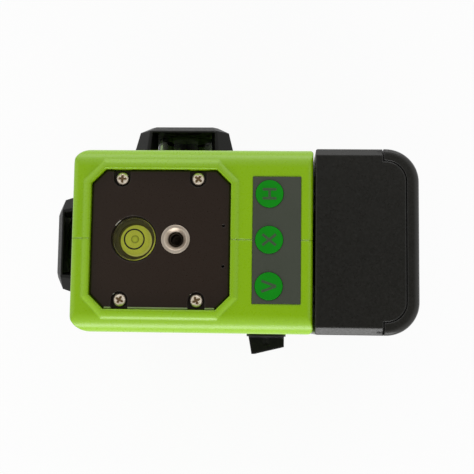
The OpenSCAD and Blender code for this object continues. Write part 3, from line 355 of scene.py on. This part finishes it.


# metal turned on a lathe: fine rings round one axis, as a sine of the distance from it, plus painted shade
# towards a bore
def turnedFinish(name, look):
    material, tree, shader, where = newFinish(name)
    cloud = noise(tree, where, look["cloudScale"], finishShape["cloudDetail"])
    far = vector(tree, "LENGTH", vector(tree, "MULTIPLY", where, look["across"]))
    wave = number(tree, "SINE", number(tree, "MULTIPLY", far, look["ringsPerMetre"] * 2 * math.pi))
    rings = number(tree, "MULTIPLY", wave, cloud)
    tone = driftTone(tree, cloud, look)
    if "boreShadeTone" in look:  # painted shade that deepens towards the bore
        inside = ramp(tree, far, look["mouthRadius"], look["boreRadius"])
        tone = blend(tree, inside, tone, look["boreShadeTone"])
    tree.links.new(tone, shader.inputs["Base Color"])
    roughen(tree, shader, rings, -finishShape["waveReach"], finishShape["waveReach"], look)
    addBump(tree, shader, rings, look["ringDepth"], finishShape["ringStrength"], look["edge"])
    setShader(shader, Metallic=1.0)
    return material


nickel = {
    "tone": (0.72, 0.65, 0.59),
    "toneTwo": (0.80, 0.74, 0.69),
    "cloudScale": 260.0,
    "across": (1, 1, 0),
    "ringsPerMetre": 3800,
    "ringDepth": 0.00003,
    "roughLow": 0.2,
    "roughHigh": 0.34,
    "edge": 0.0004,
}
insertNickel = {
    **nickel,
    "tone": (0.66, 0.55, 0.44),
    "toneTwo": (0.77, 0.67, 0.56),
    "roughLow": 0.32,
    "roughHigh": 0.48,
    # painted shade: near black towards the bore
    "boreShadeTone": (0.030, 0.020, 0.012),
    "mouthRadius": 3.55 * mm,
    "boreRadius": 3.05 * mm,
}
# painted shade: the inside threads and the drill cone are nickel darkened far below its own tone, for the
# shade inside the hole
shadedThreadNickel = {
    **nickel,
    "tone": (0.070, 0.055, 0.040),
    "toneTwo": (0.110, 0.088, 0.066),
    "roughLow": 0.34,
    "roughHigh": 0.5,
}
brassTurned = {
    "tone": (0.62, 0.43, 0.16),
    "toneTwo": (0.70, 0.51, 0.22),
    "cloudScale": 180.0,
    "across": (1, 1, 0.3),
    "ringsPerMetre": 2600,
    "ringDepth": 0.00003,
    "roughLow": 0.22,
    "roughHigh": 0.38,
    "edge": 0.0003,
}
mirrorCone = {
    "tone": (0.90, 0.90, 0.90),
    "toneTwo": (0.96, 0.96, 0.95),
    "cloudScale": 400.0,
    "across": (1, 1, 1),
    "ringsPerMetre": 5200,
    "ringDepth": 0.000004,
    "roughLow": 0.02,
    "roughHigh": 0.06,
    "edge": 0.0001,
}


# clear pieces: faint smears change the roughness and the tint a little
def clearFinish(name, look):
    material, tree, shader, where = newFinish(name)
    smear = noise(tree, where, look["smearScale"], finishShape["smearDetail"], finishShape["smearWarp"])
    roughen(tree, shader, smear, finishShape["smearLow"], finishShape["smearHigh"], look)
    tree.links.new(blend(tree, smear, look["tone"], look["toneTwo"]), shader.inputs["Base Color"])
    setShader(shader, Transmission_Weight=1.0, IOR=look["bend"],
              Specular_IOR_Level=look.get("specular", 0.5))
    return material


windowGlass = {
    "tone": (0.22, 0.30, 0.14),
    "toneTwo": (0.18, 0.25, 0.11),
    "smearScale": 90.0,
    "roughLow": 0.0,
    "roughHigh": 0.035,
    "bend": 1.18,
    "specular": 0.4,
}
vialAcrylic = {
    "tone": (0.93, 0.95, 0.84),
    "toneTwo": (0.89, 0.92, 0.78),
    "smearScale": 160.0,
    "roughLow": 0.0,
    "roughHigh": 0.04,
    "bend": 1.45,
}
vialFluid = {
    "tone": (0.94, 0.97, 0.62),
    "toneTwo": (0.90, 0.94, 0.52),
    "smearScale": 240.0,
    "roughLow": 0.0,
    "roughHigh": 0.01,
    "bend": 1.01,
}


# vial disc and bubble: bright in the middle and deeper in tone towards the rim, with a soft swirl; both glow
# by emission, which is painted light, and the bubble's dark rim is painted shade
def fluidFinish(name, look):
    material, tree, shader, where = newFinish(name)
    toCentre = (-look["centre"][0], -look["centre"][1], 0)
    centred = put(tree, "Mapping", {"Vector": where, "Location": toCentre}).outputs[0]
    far = vector(tree, "LENGTH", vector(tree, "MULTIPLY", centred, (1, 1, 0)))
    swirl = noise(tree, where, look["swirlScale"], look["swirlDetail"])
    fade = ramp(tree, far, look["radius"] * look["fadeFrom"], look["radius"])
    tone = blend(tree, fade, look["tone"], look["toneTwo"])
    soft = ramp(tree, swirl, look["swirlLow"], look["swirlHigh"], 0.0, look["swirlMix"])
    tree.links.new(blend(tree, soft, tone, look["swirlTone"]), shader.inputs["Base Color"])
    roughen(tree, shader, swirl, 0.0, 1.0, look)
    # painted light: the disc and the bubble glow though they are no lamps
    setShader(shader, Emission_Color=look["glow"], Emission_Strength=look["glowStrength"],
              Specular_IOR_Level=look["specular"])
    return material


vialGlow = {
    "tone": (0.62, 0.62, 0.090),
    "toneTwo": (0.50, 0.51, 0.060),
    "swirlTone": (0.66, 0.67, 0.14),
    "swirlScale": 300.0,
    "swirlDetail": 3.0,
    "swirlLow": 0.4,
    "swirlHigh": 0.8,
    "swirlMix": 0.3,
    "fadeFrom": 0.45,
    "roughLow": 0.08,
    "roughHigh": 0.22,
    "specular": 0.1,
    "centre": (-0.0172, -0.0004),
    "radius": 0.0066,
    "glow": (0.46, 0.46, 0.11),
    "glowStrength": 0.5,
}
bubbleGlow = {
    **vialGlow,
    "tone": (0.58, 0.62, 0.050),
    # painted shade: the bubble darkens to its rim
    "toneTwo": (0.12, 0.14, 0.008),
    "swirlTone": (0.62, 0.66, 0.07),
    "swirlScale": 900.0,
    "centre": (-0.0173, 0.0),
    "radius": 0.0018,
    "glow": (0.36, 0.42, 0.05),
    "glowStrength": 0.17,
}


# printed film: two tones of ink, with fine screen dots from a voronoi in its colour, gloss and bump
def filmFinish(name, look):
    material, tree, shader, where = newFinish(name)
    cloud = noise(tree, where, look["cloudScale"], finishShape["cloudDetail"])
    dots = put(tree, "TexVoronoi", {"Vector": where, "Scale": look["dotScale"]}).outputs["Distance"]
    screen = ramp(tree, dots, finishShape["dotLow"], finishShape["dotHigh"], 0.0, look["dotMix"])
    tone = blend(tree, screen, driftTone(tree, cloud, look), look["dotTone"])
    tree.links.new(tone, shader.inputs["Base Color"])
    roughen(tree, shader, dots, 0.0, 1.0, look)
    addBump(tree, shader, dots, finishShape["dotDepth"], finishShape["dotStrength"], look["edge"])
    setShader(shader, Specular_IOR_Level=look["specular"])
    return material


labelFilm = {
    "tone": (0.042, 0.051, 0.033),
    "toneTwo": (0.051, 0.059, 0.041),
    "dotTone": (0.062, 0.069, 0.052),
    "dotMix": 0.35,
    "cloudScale": 60.0,
    "dotScale": 2600.0,
    "roughLow": 0.4,
    "roughHigh": 0.55,
    "edge": 0.0003,
    "specular": 0.4,
}
keyFilm = {
    "tone": (0.002, 0.222, 0.003),
    "toneTwo": (0.003, 0.258, 0.005),
    "dotTone": (0.006, 0.285, 0.012),
    "dotMix": 0.3,
    "cloudScale": 90.0,
    "dotScale": 2600.0,
    "roughLow": 0.42,
    "roughHigh": 0.55,
    "edge": 0.0005,
    "specular": 0.14,
}
keyInk = {
    "tone": (0.030, 0.078, 0.026),
    "toneTwo": (0.038, 0.090, 0.032),
    "dotTone": (0.048, 0.105, 0.040),
    "dotMix": 0.3,
    "cloudScale": 400.0,
    "dotScale": 2600.0,
    "roughLow": 0.45,
    "roughHigh": 0.6,
    "edge": 0.0001,
    "specular": 0.35,
}
vialLining = {
    "tone": (0.110, 0.095, 0.038),
    "toneTwo": (0.145, 0.125, 0.052),
    "dotTone": (0.190, 0.165, 0.070),
    "dotMix": 0.3,
    "cloudScale": 300.0,
    "dotScale": 2200.0,
    "roughLow": 0.35,
    "roughHigh": 0.5,
    "edge": 0.0001,
    "specular": 0.4,
}
ringInk = {
    "tone": (0.003, 0.004, 0.002),
    "toneTwo": (0.005, 0.006, 0.003),
    "dotTone": (0.008, 0.009, 0.005),
    "dotMix": 0.3,
    "cloudScale": 500.0,
    "dotScale": 2600.0,
    "roughLow": 0.5,
    "roughHigh": 0.6,
    "edge": 0.00005,
    "specular": 0.3,
}


# circuit board: solder mask with brick-laid copper tracks under it and small round vias
def boardFinish(name, look):
    material, tree, shader, where = newFinish(name)
    tracks = put(tree, "TexBrick", {"Vector": where, "Scale": look["trackScale"],
                                    "Mortar Size": look["trackWidth"], "Color1": (0, 0, 0, 1),
                                    "Color2": (0, 0, 0, 1), "Mortar": (1, 1, 1, 1)}).outputs["Color"]
    vias = put(tree, "TexVoronoi", {"Vector": where, "Scale": look["viaScale"]}).outputs["Distance"]
    hole = ramp(tree, vias, look["viaEdge"], look["viaCore"])
    tone = blend(tree, tracks, look["tone"], look["toneTwo"])
    tree.links.new(blend(tree, hole, tone, look["viaTone"]), shader.inputs["Base Color"])
    bump = put(tree, "Bump", {"Height": tracks, "Distance": look["trackDepth"],
                              "Strength": look["trackStrength"]})
    tree.links.new(bump.outputs[0], shader.inputs["Normal"])
    setShader(shader, Roughness=look["rough"], Coat_Weight=look["coat"])
    return material


boardGreen = {
    "tone": (0.010, 0.075, 0.030),
    "toneTwo": (0.025, 0.140, 0.060),
    "viaTone": (0.50, 0.42, 0.25),
    "trackScale": 320.0,
    "trackWidth": 0.03,
    "trackDepth": 0.00005,
    "trackStrength": 0.4,
    "viaScale": 260.0,
    "viaEdge": 0.16,
    "viaCore": 0.12,
    "rough": 0.3,
    "coat": 0.4,
}


finishes = {
    "green_shell": grainFinish("greenShell", greenShell),
    "black_shell": grainFinish("blackShell", blackShell),
    "anodised_plate": grainFinish("anodisedPlate", anodisedPlate),
    "screw_steel": grainFinish("screwSteel", screwSteel),
    "nickel": turnedFinish("nickel", nickel),
    "window_glass": clearFinish("windowGlass", windowGlass),
    "vial_acrylic": clearFinish("vialAcrylic", vialAcrylic),
    "vial_fluid": clearFinish("vialFluid", vialFluid),
    "label_film": filmFinish("labelFilm", labelFilm),
    "key_film": filmFinish("keyFilm", keyFilm),
    "board": boardFinish("boardGreen", boardGreen),
    "chip_black": grainFinish("chipBlack", chipBlack),
    "cast_alloy": grainFinish("castAlloy", castAlloy),
    "brass_turned": turnedFinish("brassTurned", brassTurned),
    "copper_plate": grainFinish("copperPlate", copperPlate),
    "mirror_cone": turnedFinish("mirrorCone", mirrorCone),
    "pad_rubber": grainFinish("padRubber", padRubber),
    "cell_sleeve": grainFinish("cellSleeve", cellSleeve),
}
inkFinish = filmFinish("keyInk", keyInk)
ringFinish = filmFinish("ringInk", ringInk)
liningFinish = filmFinish("vialLining", vialLining)
glowFinish = fluidFinish("vialGlow", vialGlow)
bubbleFinish = fluidFinish("bubbleGlow", bubbleGlow)
insertFinish = turnedFinish("insertNickel", insertNickel)
shadedThreadFinish = turnedFinish("shadedThreadNickel", shadedThreadNickel)
shadedFrameFinish = grainFinish("shadedFrameBlack", shadedFrameBlack)


def dress(thing, material):
    if not thing.material_slots:
        thing.data.materials.append(material)
    for holder in thing.material_slots:
        holder.material = material


for nodeName, thing in nodes.items():
    dress(thing, finishes[slotOf[nodeName]])
for nodeName in ("thread_insert", "base_insert"):
    dress(nodes[nodeName], insertFinish)
for nodeName in ("front_window_frame", "side_window_frame", "base_frame", "lock_lever"):
    dress(nodes[nodeName], shadedFrameFinish)
print("finishes on", len(nodes), "nodes,", len(bpy.data.materials), "materials")


# mesh from arrays, riding on a body and dressed in the given material
def addPiece(name, points, faces, material, body, slot, smooth=True):
    mesh = bpy.data.meshes.new(name)
    mesh.from_pydata(points.tolist(), [], faces)
    mesh.polygons.foreach_set("use_smooth", np.full(len(mesh.polygons), smooth))
    mesh.update()
    piece = bpy.data.objects.new(name, mesh)
    scene.collection.objects.link(piece)
    dress(piece, material)
    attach(piece, body)
    return piece


def roundAngles(columns):
    return np.linspace(0, 2 * np.pi, columns, endpoint=False)[None, :]


# radius, angle and height of every row and column become points
def roundPoints(radius, angle, height):
    return np.stack([radius * np.cos(angle), radius * np.sin(angle), height], -1).reshape(-1, 3)


# quads between the rows of a grid of points; columns wrap round, rows wrap too when closed
def gridFaces(rows, columns, closed=False):
    row = np.arange(rows if closed else rows - 1)[:, None]
    column = np.arange(columns)[None, :]
    nextRow = (row + 1) % rows
    nextColumn = (column + 1) % columns
    corners = [row * columns + column, row * columns + nextColumn, nextRow * columns + nextColumn,
               nextRow * columns + column]
    return np.stack(corners, -1).reshape(-1, 4).tolist()


# a closed turned surface: radius and height are given for every row and angle,
# from the lower pole to the upper one
def turnedSurface(radius, height, angle, lowPole, highPole):
    rows, columns = radius.shape
    points = np.vstack([roundPoints(radius, angle, height), [[0, 0, lowPole], [0, 0, highPole]]])
    step = np.arange(columns)
    after = (step + 1) % columns
    last = (rows - 1) * columns
    low = np.stack([after, step, np.full(columns, rows * columns)], -1)
    high = np.stack([last + step, last + after, np.full(columns, rows * columns + 1)], -1)
    return points, [*gridFaces(rows, columns), *low.tolist(), *high.tolist()]


# points made along +Z are turned to an axis and moved to a place
def placeAlong(points, place, axis):
    axis = Vector(axis).normalized()
    turn = np.array(Vector((0, 0, 1)).rotation_difference(axis).to_matrix())
    return points @ turn.T + np.asarray(place)


panScrew = {
    "head": 2.75 * mm,
    "height": 2.0 * mm,
    "shank": 1.48 * mm,
    "thread": 0.24 * mm,
    "pitch": 0.8 * mm,
    "neck": 0.2 * mm,
    "tip": 1.2 * mm,
    "tipShare": 0.35,
    "rimRadii": (0.62, 0.94, 1.0, 1.0, 0.985),  # shares of the head's radius, from the shank to the dome
    "rimLevels": (0.0, 0.0, 0.06, 0.42, 0.52),  # shares of its height
    "domePower": 3.2,
    "domeFrom": 0.96,
    "domeTo": 0.03,
    "domeRows": 34,
    "slot": 0.42 * mm,
    "slotFlank": 0.22 * mm,
    "reach": 1.6 * mm,
    "reachFlank": 0.7 * mm,
    "recess": 1.0 * mm,
    "rimShade": 0.8,
    "shadeFrom": 0.85,
    "shadeRise": 3,
    "columns": 56,
    "rowsPerPitch": 5,
    "spin": 0.5,  # radians, so that no two recesses stand alike
    "spinStep": 1.1,
}


# pan head screw: the shank's radius is a core plus a triangle wave of height and angle for the thread;
# the head is a dome of height h(1 - r^p), less a cross recess whose depth fades at its rim
def screwShape(size, length, spin):
    angle = roundAngles(size["columns"])
    even = np.ones_like(angle)
    threadRows = int(length / size["pitch"] * size["rowsPerPitch"])
    low = np.linspace(-length, -size["neck"], threadRows)[:, None]
    phase = (low / size["pitch"] - angle / (2 * np.pi)) % 1
    taper = np.clip((low + length) / size["tip"], size["tipShare"], 1)
    shank = (size["shank"] - size["thread"] * np.abs(2 * phase - 1)) * taper
    rimRadius = np.array(size["rimRadii"])[:, None] * even
    rimLevel = np.array(size["rimLevels"])[:, None] * even
    share = np.linspace(size["domeFrom"], size["domeTo"], size["domeRows"])[:, None] * even
    foot = size["rimLevels"][-1]
    dome = foot + (1 - foot) * (1 - share ** size["domePower"])
    x = np.abs(share * size["head"] * np.cos(angle + spin))
    y = np.abs(share * size["head"] * np.sin(angle + spin))
    arm = np.clip((size["slot"] - np.minimum(x, y)) / size["slotFlank"] + 0.5, 0, 1)
    reach = np.clip((size["reach"] - np.maximum(x, y)) / size["reachFlank"] + 0.5, 0, 1)
    cross = arm * reach
    crown = dome * size["height"] - size["recess"] * cross
    radius = np.vstack([shank, rimRadius * size["head"], share * size["head"]])
    height = np.vstack([low * even, rimLevel * size["height"], crown])
    points, faces = turnedSurface(radius, height, angle, -length, size["height"] - size["recess"])
    # painted shade: the recess attribute is full in the cross recess, 0.8 on the head's side, and rises
    # towards the dome's rim
    rim = np.clip(size["shadeRise"] * (share - size["shadeFrom"]), 0, 1)
    paintedShade = np.vstack([0 * shank, size["rimShade"] * np.ones_like(rimRadius), np.maximum(cross, rim)])
    return points, faces, np.r_[paintedShade.ravel(), 0, 1]


def makeScrews(name, node, size, spread):
    allPoints, allFaces, allPaintedShade, start = [], [], [], 0
    for index, spot in enumerate(spread["spots"]):
        points, faces, paintedShade = screwShape(size, spread["length"], size["spin"] + index * size["spinStep"])
        allPoints.append(placeAlong(points, np.array(spot) * mm, spread["axis"]))
        allFaces += [[start + corner for corner in face] for face in faces]
        allPaintedShade.append(paintedShade)
        start += len(points)
    piece = addPiece(name, np.vstack(allPoints), allFaces, finishes["screw_steel"], "housing", "screw_steel")
    recess = piece.data.attributes.new("recess", "FLOAT", "POINT")
    recess.data.foreach_set("value", np.concatenate(allPaintedShade))
    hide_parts(node)


# spots are under the heads, in mm
plateScrews = {
    "spots": [(x, y, 101.1) for x in (-23.1, 9.1) for y in (-25.6, 25.6)],
    "axis": (0, 0, 1),
    "length": 8 * mm,
}
footScrews = {
    "spots": [(x, y, 3) for x in (-24, 34) for y in (-21, 21)],
    "axis": (0, 0, -1),
    "length": 24.5 * mm,
}
caseScrews = {
    "spots": [(-37.5, -12, 27), (-37.5, -12, 88), (50, -12, 90), (46, -12, 24.5)],
    "axis": (0, -1, 0),
    "length": 24 * mm,
}
makeScrews("plateScrews", "plate_screws", panScrew, plateScrews)
makeScrews("footScrews", "base_screws", panScrew, footScrews)
makeScrews("caseScrews", "case_screws", panScrew, caseScrews)
print("screws made")


topThread = {
    "bore": 2.65 * mm,
    "depth": 0.3 * mm,
    "pitch": 1.27 * mm,
    "bottom": 92.6 * mm,
    "top": 100.8 * mm,
    "wall": 0.03 * mm,
    "runOut": 0.5 * mm,
    "flank": 1.6,
    "root": 0.3,
    "columns": 72,
    "rowsPerPitch": 8,
}
footThread = {
    **topThread,
    "bottom": 0.3 * mm,
    "top": 7.8 * mm,
}


# inside thread: a sleeve whose inner radius is the bore less a cut-off triangle wave of height and angle
def threadSleeve(look):
    columns = look["columns"]
    rows = int((look["top"] - look["bottom"]) / look["pitch"] * look["rowsPerPitch"])
    angle = roundAngles(columns)
    height = np.linspace(look["top"], look["bottom"], rows)[:, None] * np.ones_like(angle)
    phase = (height / look["pitch"] - angle / (2 * np.pi)) % 1
    fade = np.clip(np.minimum(look["top"] - height, height - look["bottom"]) / look["runOut"], 0, 1)
    wave = np.clip(look["flank"] * np.abs(2 * phase - 1) - look["root"], 0, 1)
    inner = look["bore"] - look["depth"] * fade * wave
    radius = np.vstack([inner, np.full((2, columns), look["bore"] + look["wall"])])
    level = np.vstack([height, np.full((1, columns), look["bottom"]), np.full((1, columns), look["top"])])
    return roundPoints(radius, angle, level), gridFaces(rows + 2, columns, closed=True)


addPiece("topThread", *threadSleeve(topThread), shadedThreadFinish, "housing", "nickel")
addPiece("footThread", *threadSleeve(footThread), shadedThreadFinish, "housing", "nickel")


# a turned piece from its profile of (radius, height) pairs in mm, closed at both ends on the axis
def turnedProfile(profile, x=0.0, y=0.0, columns=96):
    radius, height = np.array(profile, float).T * mm
    angle = roundAngles(columns)
    points, faces = turnedSurface(radius[:, None] + 0 * angle, height[:, None] + 0 * angle, angle,
                                  height[0], height[-1])
    return points + np.array([x, y, 0]), faces


# the drilled cone under the top thread
drillTip = [(2.6, 92.45), (2.66, 92.5), (2.66, 93.5), (2.6, 93.5), (1.3, 92.8), (0.3, 92.55)]
addPiece("threadFloor", *turnedProfile(drillTip), shadedThreadFinish, "housing", "nickel")
print("threads made")


# vial: a clear block with rounded rims, held in an olive lining, over a bright disc with the fluid on it
vialParts = {
    "x": -17.6 * mm,
    "discX": -17.2 * mm,
    "discY": -0.4 * mm,
    "block": [(1, 94.4), (8.4, 94.4), (8.6, 94.4), (8.85, 94.5), (9, 94.8), (9, 95), (9, 101.6), (9, 101.8),
              (8.93, 102.1), (8.75, 102.3), (8.5, 102.4), (8.4, 102.4), (1, 102.4)],
    "lining": [(1, 94.5), (8.9, 94.5), (8.95, 94.55), (8.95, 101.2), (8.8, 101.2), (8.8, 94.9), (8.7, 94.8),
               (1, 94.8)],
    "disc": [(1, 96), (6.4, 96), (6.65, 96.1), (6.7, 96.25), (6.65, 96.4), (6.5, 96.45), (1, 96.45)],
    "fluid": [(1, 97), (6.4, 97), (6.6, 97.1), (6.6, 100.8), (6.4, 100.95), (1.9, 100.95), (1.8, 100.9),
              (1.7, 100.5), (1, 100.3)],
}


def makeVial(look):
    block = addPiece("vialBlock", *turnedProfile(look["block"], look["x"]), finishes["vial_acrylic"],
                     "housing", "vial_acrylic")
    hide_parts("vial_body")
    fluid = addPiece("vialFluid", *turnedProfile(look["fluid"], look["x"]), finishes["vial_fluid"],
                     "housing", "vial_fluid")
    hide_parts("vial_liquid")
    addPiece("vialLining", *turnedProfile(look["lining"], look["x"]), liningFinish,
             "housing", "vial_acrylic")
    addPiece("vialDisc", *turnedProfile(look["disc"], look["discX"], look["discY"]), glowFinish,
             "housing", "vial_fluid")


makeVial(vialParts)


vialRing = {
    "x": -17.6 * mm,
    "radius": 4.15 * mm,
    "width": 0.62 * mm,
    "thick": 0.08 * mm,
    "level": 101.06 * mm,
    "columns": 96,
    "rows": 12,
}


# vial mark: a circle of radius R carries an ellipse of the ring's width and thickness
def ringShape(look):
    angle = roundAngles(look["columns"])
    turn = roundAngles(look["rows"]).T
    radius = look["radius"] + look["width"] / 2 * np.cos(turn) + 0 * angle
    level = look["level"] + look["thick"] / 2 * np.sin(turn) + 0 * angle
    points = roundPoints(radius, angle, level) + np.array([look["x"], 0, 0])
    return points, gridFaces(look["rows"], look["columns"], closed=True)


addPiece("vialRing", *ringShape(vialRing), ringFinish, "housing", "label_film")


vialBubble = {
    "x": -17.3 * mm,
    "radius": 1.7 * mm,
    "bottom": 100.55 * mm,
    "rise": 0.4 * mm,
    "sink": 0.02 * mm,
    "flatRows": 6,
    "domeRows": 18,
    "columns": 64,
}


# bubble: a low dome h(1 - r^2) over a flat underside
def bubbleShape(look):
    angle = roundAngles(look["columns"])
    flat = np.linspace(0.1, 1, look["flatRows"])
    dome = np.linspace(0.98, 0.05, look["domeRows"])
    share = np.concatenate([flat, dome])[:, None] * np.ones_like(angle)
    under = look["bottom"] - look["sink"]
    level = look["bottom"] + look["rise"] * (1 - share ** 2)
    level[:look["flatRows"]] = under
    points, faces = turnedSurface(share * look["radius"], level, angle, under, look["bottom"] + look["rise"])
    return points + np.array([look["x"], 0, 0]), faces


addPiece("vialBubble", *bubbleShape(vialBubble), bubbleFinish, "housing", "vial_fluid")
print("vial dressed")


keyMarks = {
    "x": 39.2 * mm,
    "pitch": 19.3 * mm,
    "level": 104.45 * mm,
    "rise": 0.03 * mm,
    "sink": 0.05 * mm,
    "step": 0.004 * mm,  # each stroke lies a little over the one before
    "stroke": 1.1 * mm,
}
# ends of the strokes in mm, across the key and up it
levelStrokes = [((-1.9, -2.9), (-1.9, 2.9)), ((1.9, -2.9), (1.9, 2.9)), ((-1.9, 0), (1.9, 0))]
crossStrokes = [((-2.3, -2.8), (2.3, 2.8)), ((-2.3, 2.8), (2.3, -2.8))]
plumbStrokes = [((-2.2, 3.0), (0, -3.0)), ((2.2, 3.0), (0, -3.0))]


# key marks: each stroke is a flat bar, a rectangle carried along its line;
# up on the keys is towards the front
def strokeShape(strokes, look, y):
    allPoints, allFaces = [], []
    box = np.array([[0, 1, 2, 3], [7, 6, 5, 4], [0, 4, 5, 1], [1, 5, 6, 2], [2, 6, 7, 3], [3, 7, 4, 0]])
    for index, (start, end) in enumerate(strokes):
        ends = np.array([start, end], float) * mm
        along = (ends[1] - ends[0]) / np.linalg.norm(ends[1] - ends[0])
        side = np.array([-along[1], along[0]]) * look["stroke"] / 2
        flat = np.array([ends[0] - side, ends[1] - side, ends[1] + side, ends[0] + side])
        spot = np.stack([look["x"] - flat[:, 1], y + flat[:, 0]], -1)
        high = look["level"] + look["rise"] + index * look["step"]
        low = look["level"] - look["sink"]
        allPoints += [np.c_[spot, np.full(4, high)], np.c_[spot, np.full(4, low)]]
        allFaces += (box + 8 * index).tolist()
    return np.vstack(allPoints), allFaces


for markName, strokes, row, body in (("levelKeyMark", levelStrokes, 1, "h_key"),
                                     ("crossKeyMark", crossStrokes, 0, "mode_key"),
                                     ("plumbKeyMark", plumbStrokes, -1, "v_key")):
    shape = strokeShape(strokes, keyMarks, row * keyMarks["pitch"])
    addPiece(markName, *shape, inkFinish, body, "label_film", smooth=False)
print("key marks made")


studio = {
    "floorHalf": 3,
    "floorTone": (0.86, 0.86, 0.86),
    "fibreTone": (0.8772, 0.8772, 0.8772),
    "fibreScale": 180.0,
    "fibreDetail": 4.0,
    "floorShare": 0.92,
    "zenith": 0.08,
    "zenithEdge": 0.14,  # sine of the angle from the zenith, where the sky starts to brighten
    "horizonEdge": 0.8,
    "window": 1.2,  # levels of the sky on the four sides
    "wall": 1.34,
    "front": 0.8,
    "rear": 0.3,
}


# what the camera sees, straight or in mirrors or through glass
def seen(tree):
    path = put(tree, "LightPath").outputs
    mirrored = number(tree, "MAXIMUM", path["Is Camera Ray"], path["Is Glossy Ray"])
    return number(tree, "MAXIMUM", mirrored, path["Is Transmission Ray"])


# pale floor: nearly white where it is seen, plain diffuse paper to other light
def makeFloor(look):
    half = look["floorHalf"]
    mesh = bpy.data.meshes.new("floor")
    corners = [(-half, -half, 0), (half, -half, 0), (half, half, 0), (-half, half, 0)]
    mesh.from_pydata(corners, [], [(0, 1, 2, 3)])
    floor = bpy.data.objects.new("floor", mesh)
    scene.collection.objects.link(floor)
    material = bpy.data.materials.new("floorPaper")
    material.use_nodes = True
    tree = material.node_tree
    tree.nodes.clear()
    where = put(tree, "TexCoord").outputs["Object"]
    fibre = noise(tree, where, look["fibreScale"], look["fibreDetail"])
    paper = put(tree, "BsdfDiffuse", {"Color": blend(tree, fibre, look["floorTone"], look["fibreTone"])})
    white = put(tree, "Emission", {"Strength": 1.0})
    share = number(tree, "MULTIPLY", seen(tree), look["floorShare"])
    mixed = put(tree, "MixShader", {0: share, 1: paper.outputs[0], 2: white.outputs[0]})
    put(tree, "OutputMaterial", {"Surface": mixed.outputs[0]})
    mesh.materials.append(material)


# sky: dark overhead; round the horizon it is white where it is seen,
# and as light it has one level for each of the four sides
def makeWorld(look):
    world = bpy.data.worlds.new("studioWorld")
    scene.world = world
    world.use_nodes = True
    tree = world.node_tree
    tree.nodes.clear()
    toward = put(tree, "TexCoord").outputs["Generated"]
    flat = vector(tree, "MULTIPLY", toward, (1, 1, 0))
    compass = put(tree, "SeparateXYZ", {0: vector(tree, "NORMALIZE", flat)}).outputs
    ends = ramp(tree, compass["X"], -1.0, 1.0, look["front"], look["rear"])
    sides = ramp(tree, compass["Y"], -1.0, 1.0, look["window"], look["wall"])
    across = number(tree, "POWER", compass["Y"], 2.0)
    ring = ramp(tree, across, 0.0, 1.0, ends, sides)
    rim = put(tree, "Mix", {0: seen(tree), 2: ring, 3: 1.0}, data_type="FLOAT")
    slant = vector(tree, "LENGTH", flat)
    glow = ramp(tree, slant, look["zenithEdge"], look["horizonEdge"], look["zenith"], rim.outputs[0])
    sky = put(tree, "Background", {"Color": (1, 1, 1, 1), "Strength": glow})
    put(tree, "OutputWorld", {"Surface": sky.outputs[0]})


windowLamp = {
    "power": 7.0,
    "width": 0.9,
    "depth": 0.42,
    "place": (0.03, -1.0, 0.23),
    "target": (0.03, 0, 0.1),
}
fillLamp = {
    "power": 3.3,
    "width": 1.4,
    "depth": 0.4,
    "place": (0.0, 1.0, 0.35),
    "target": (0.0, 0, 0.09),
}


def makeLamp(name, look):
    data = bpy.data.lights.new(name, "AREA")
    data.shape = "RECTANGLE"
    data.size = look["width"]
    data.size_y = look["depth"]
    data.energy = look["power"]
    lamp = bpy.data.objects.new(name, data)
    scene.collection.objects.link(lamp)
    lamp.location = look["place"]
    aim = Vector(look["target"]) - Vector(look["place"])
    lamp.rotation_euler = aim.to_track_quat("-Z", "Y").to_euler()


makeFloor(studio)
makeWorld(studio)
makeLamp("windowLamp", windowLamp)
makeLamp("fillLamp", fillLamp)
print("floor, world and lamps set")
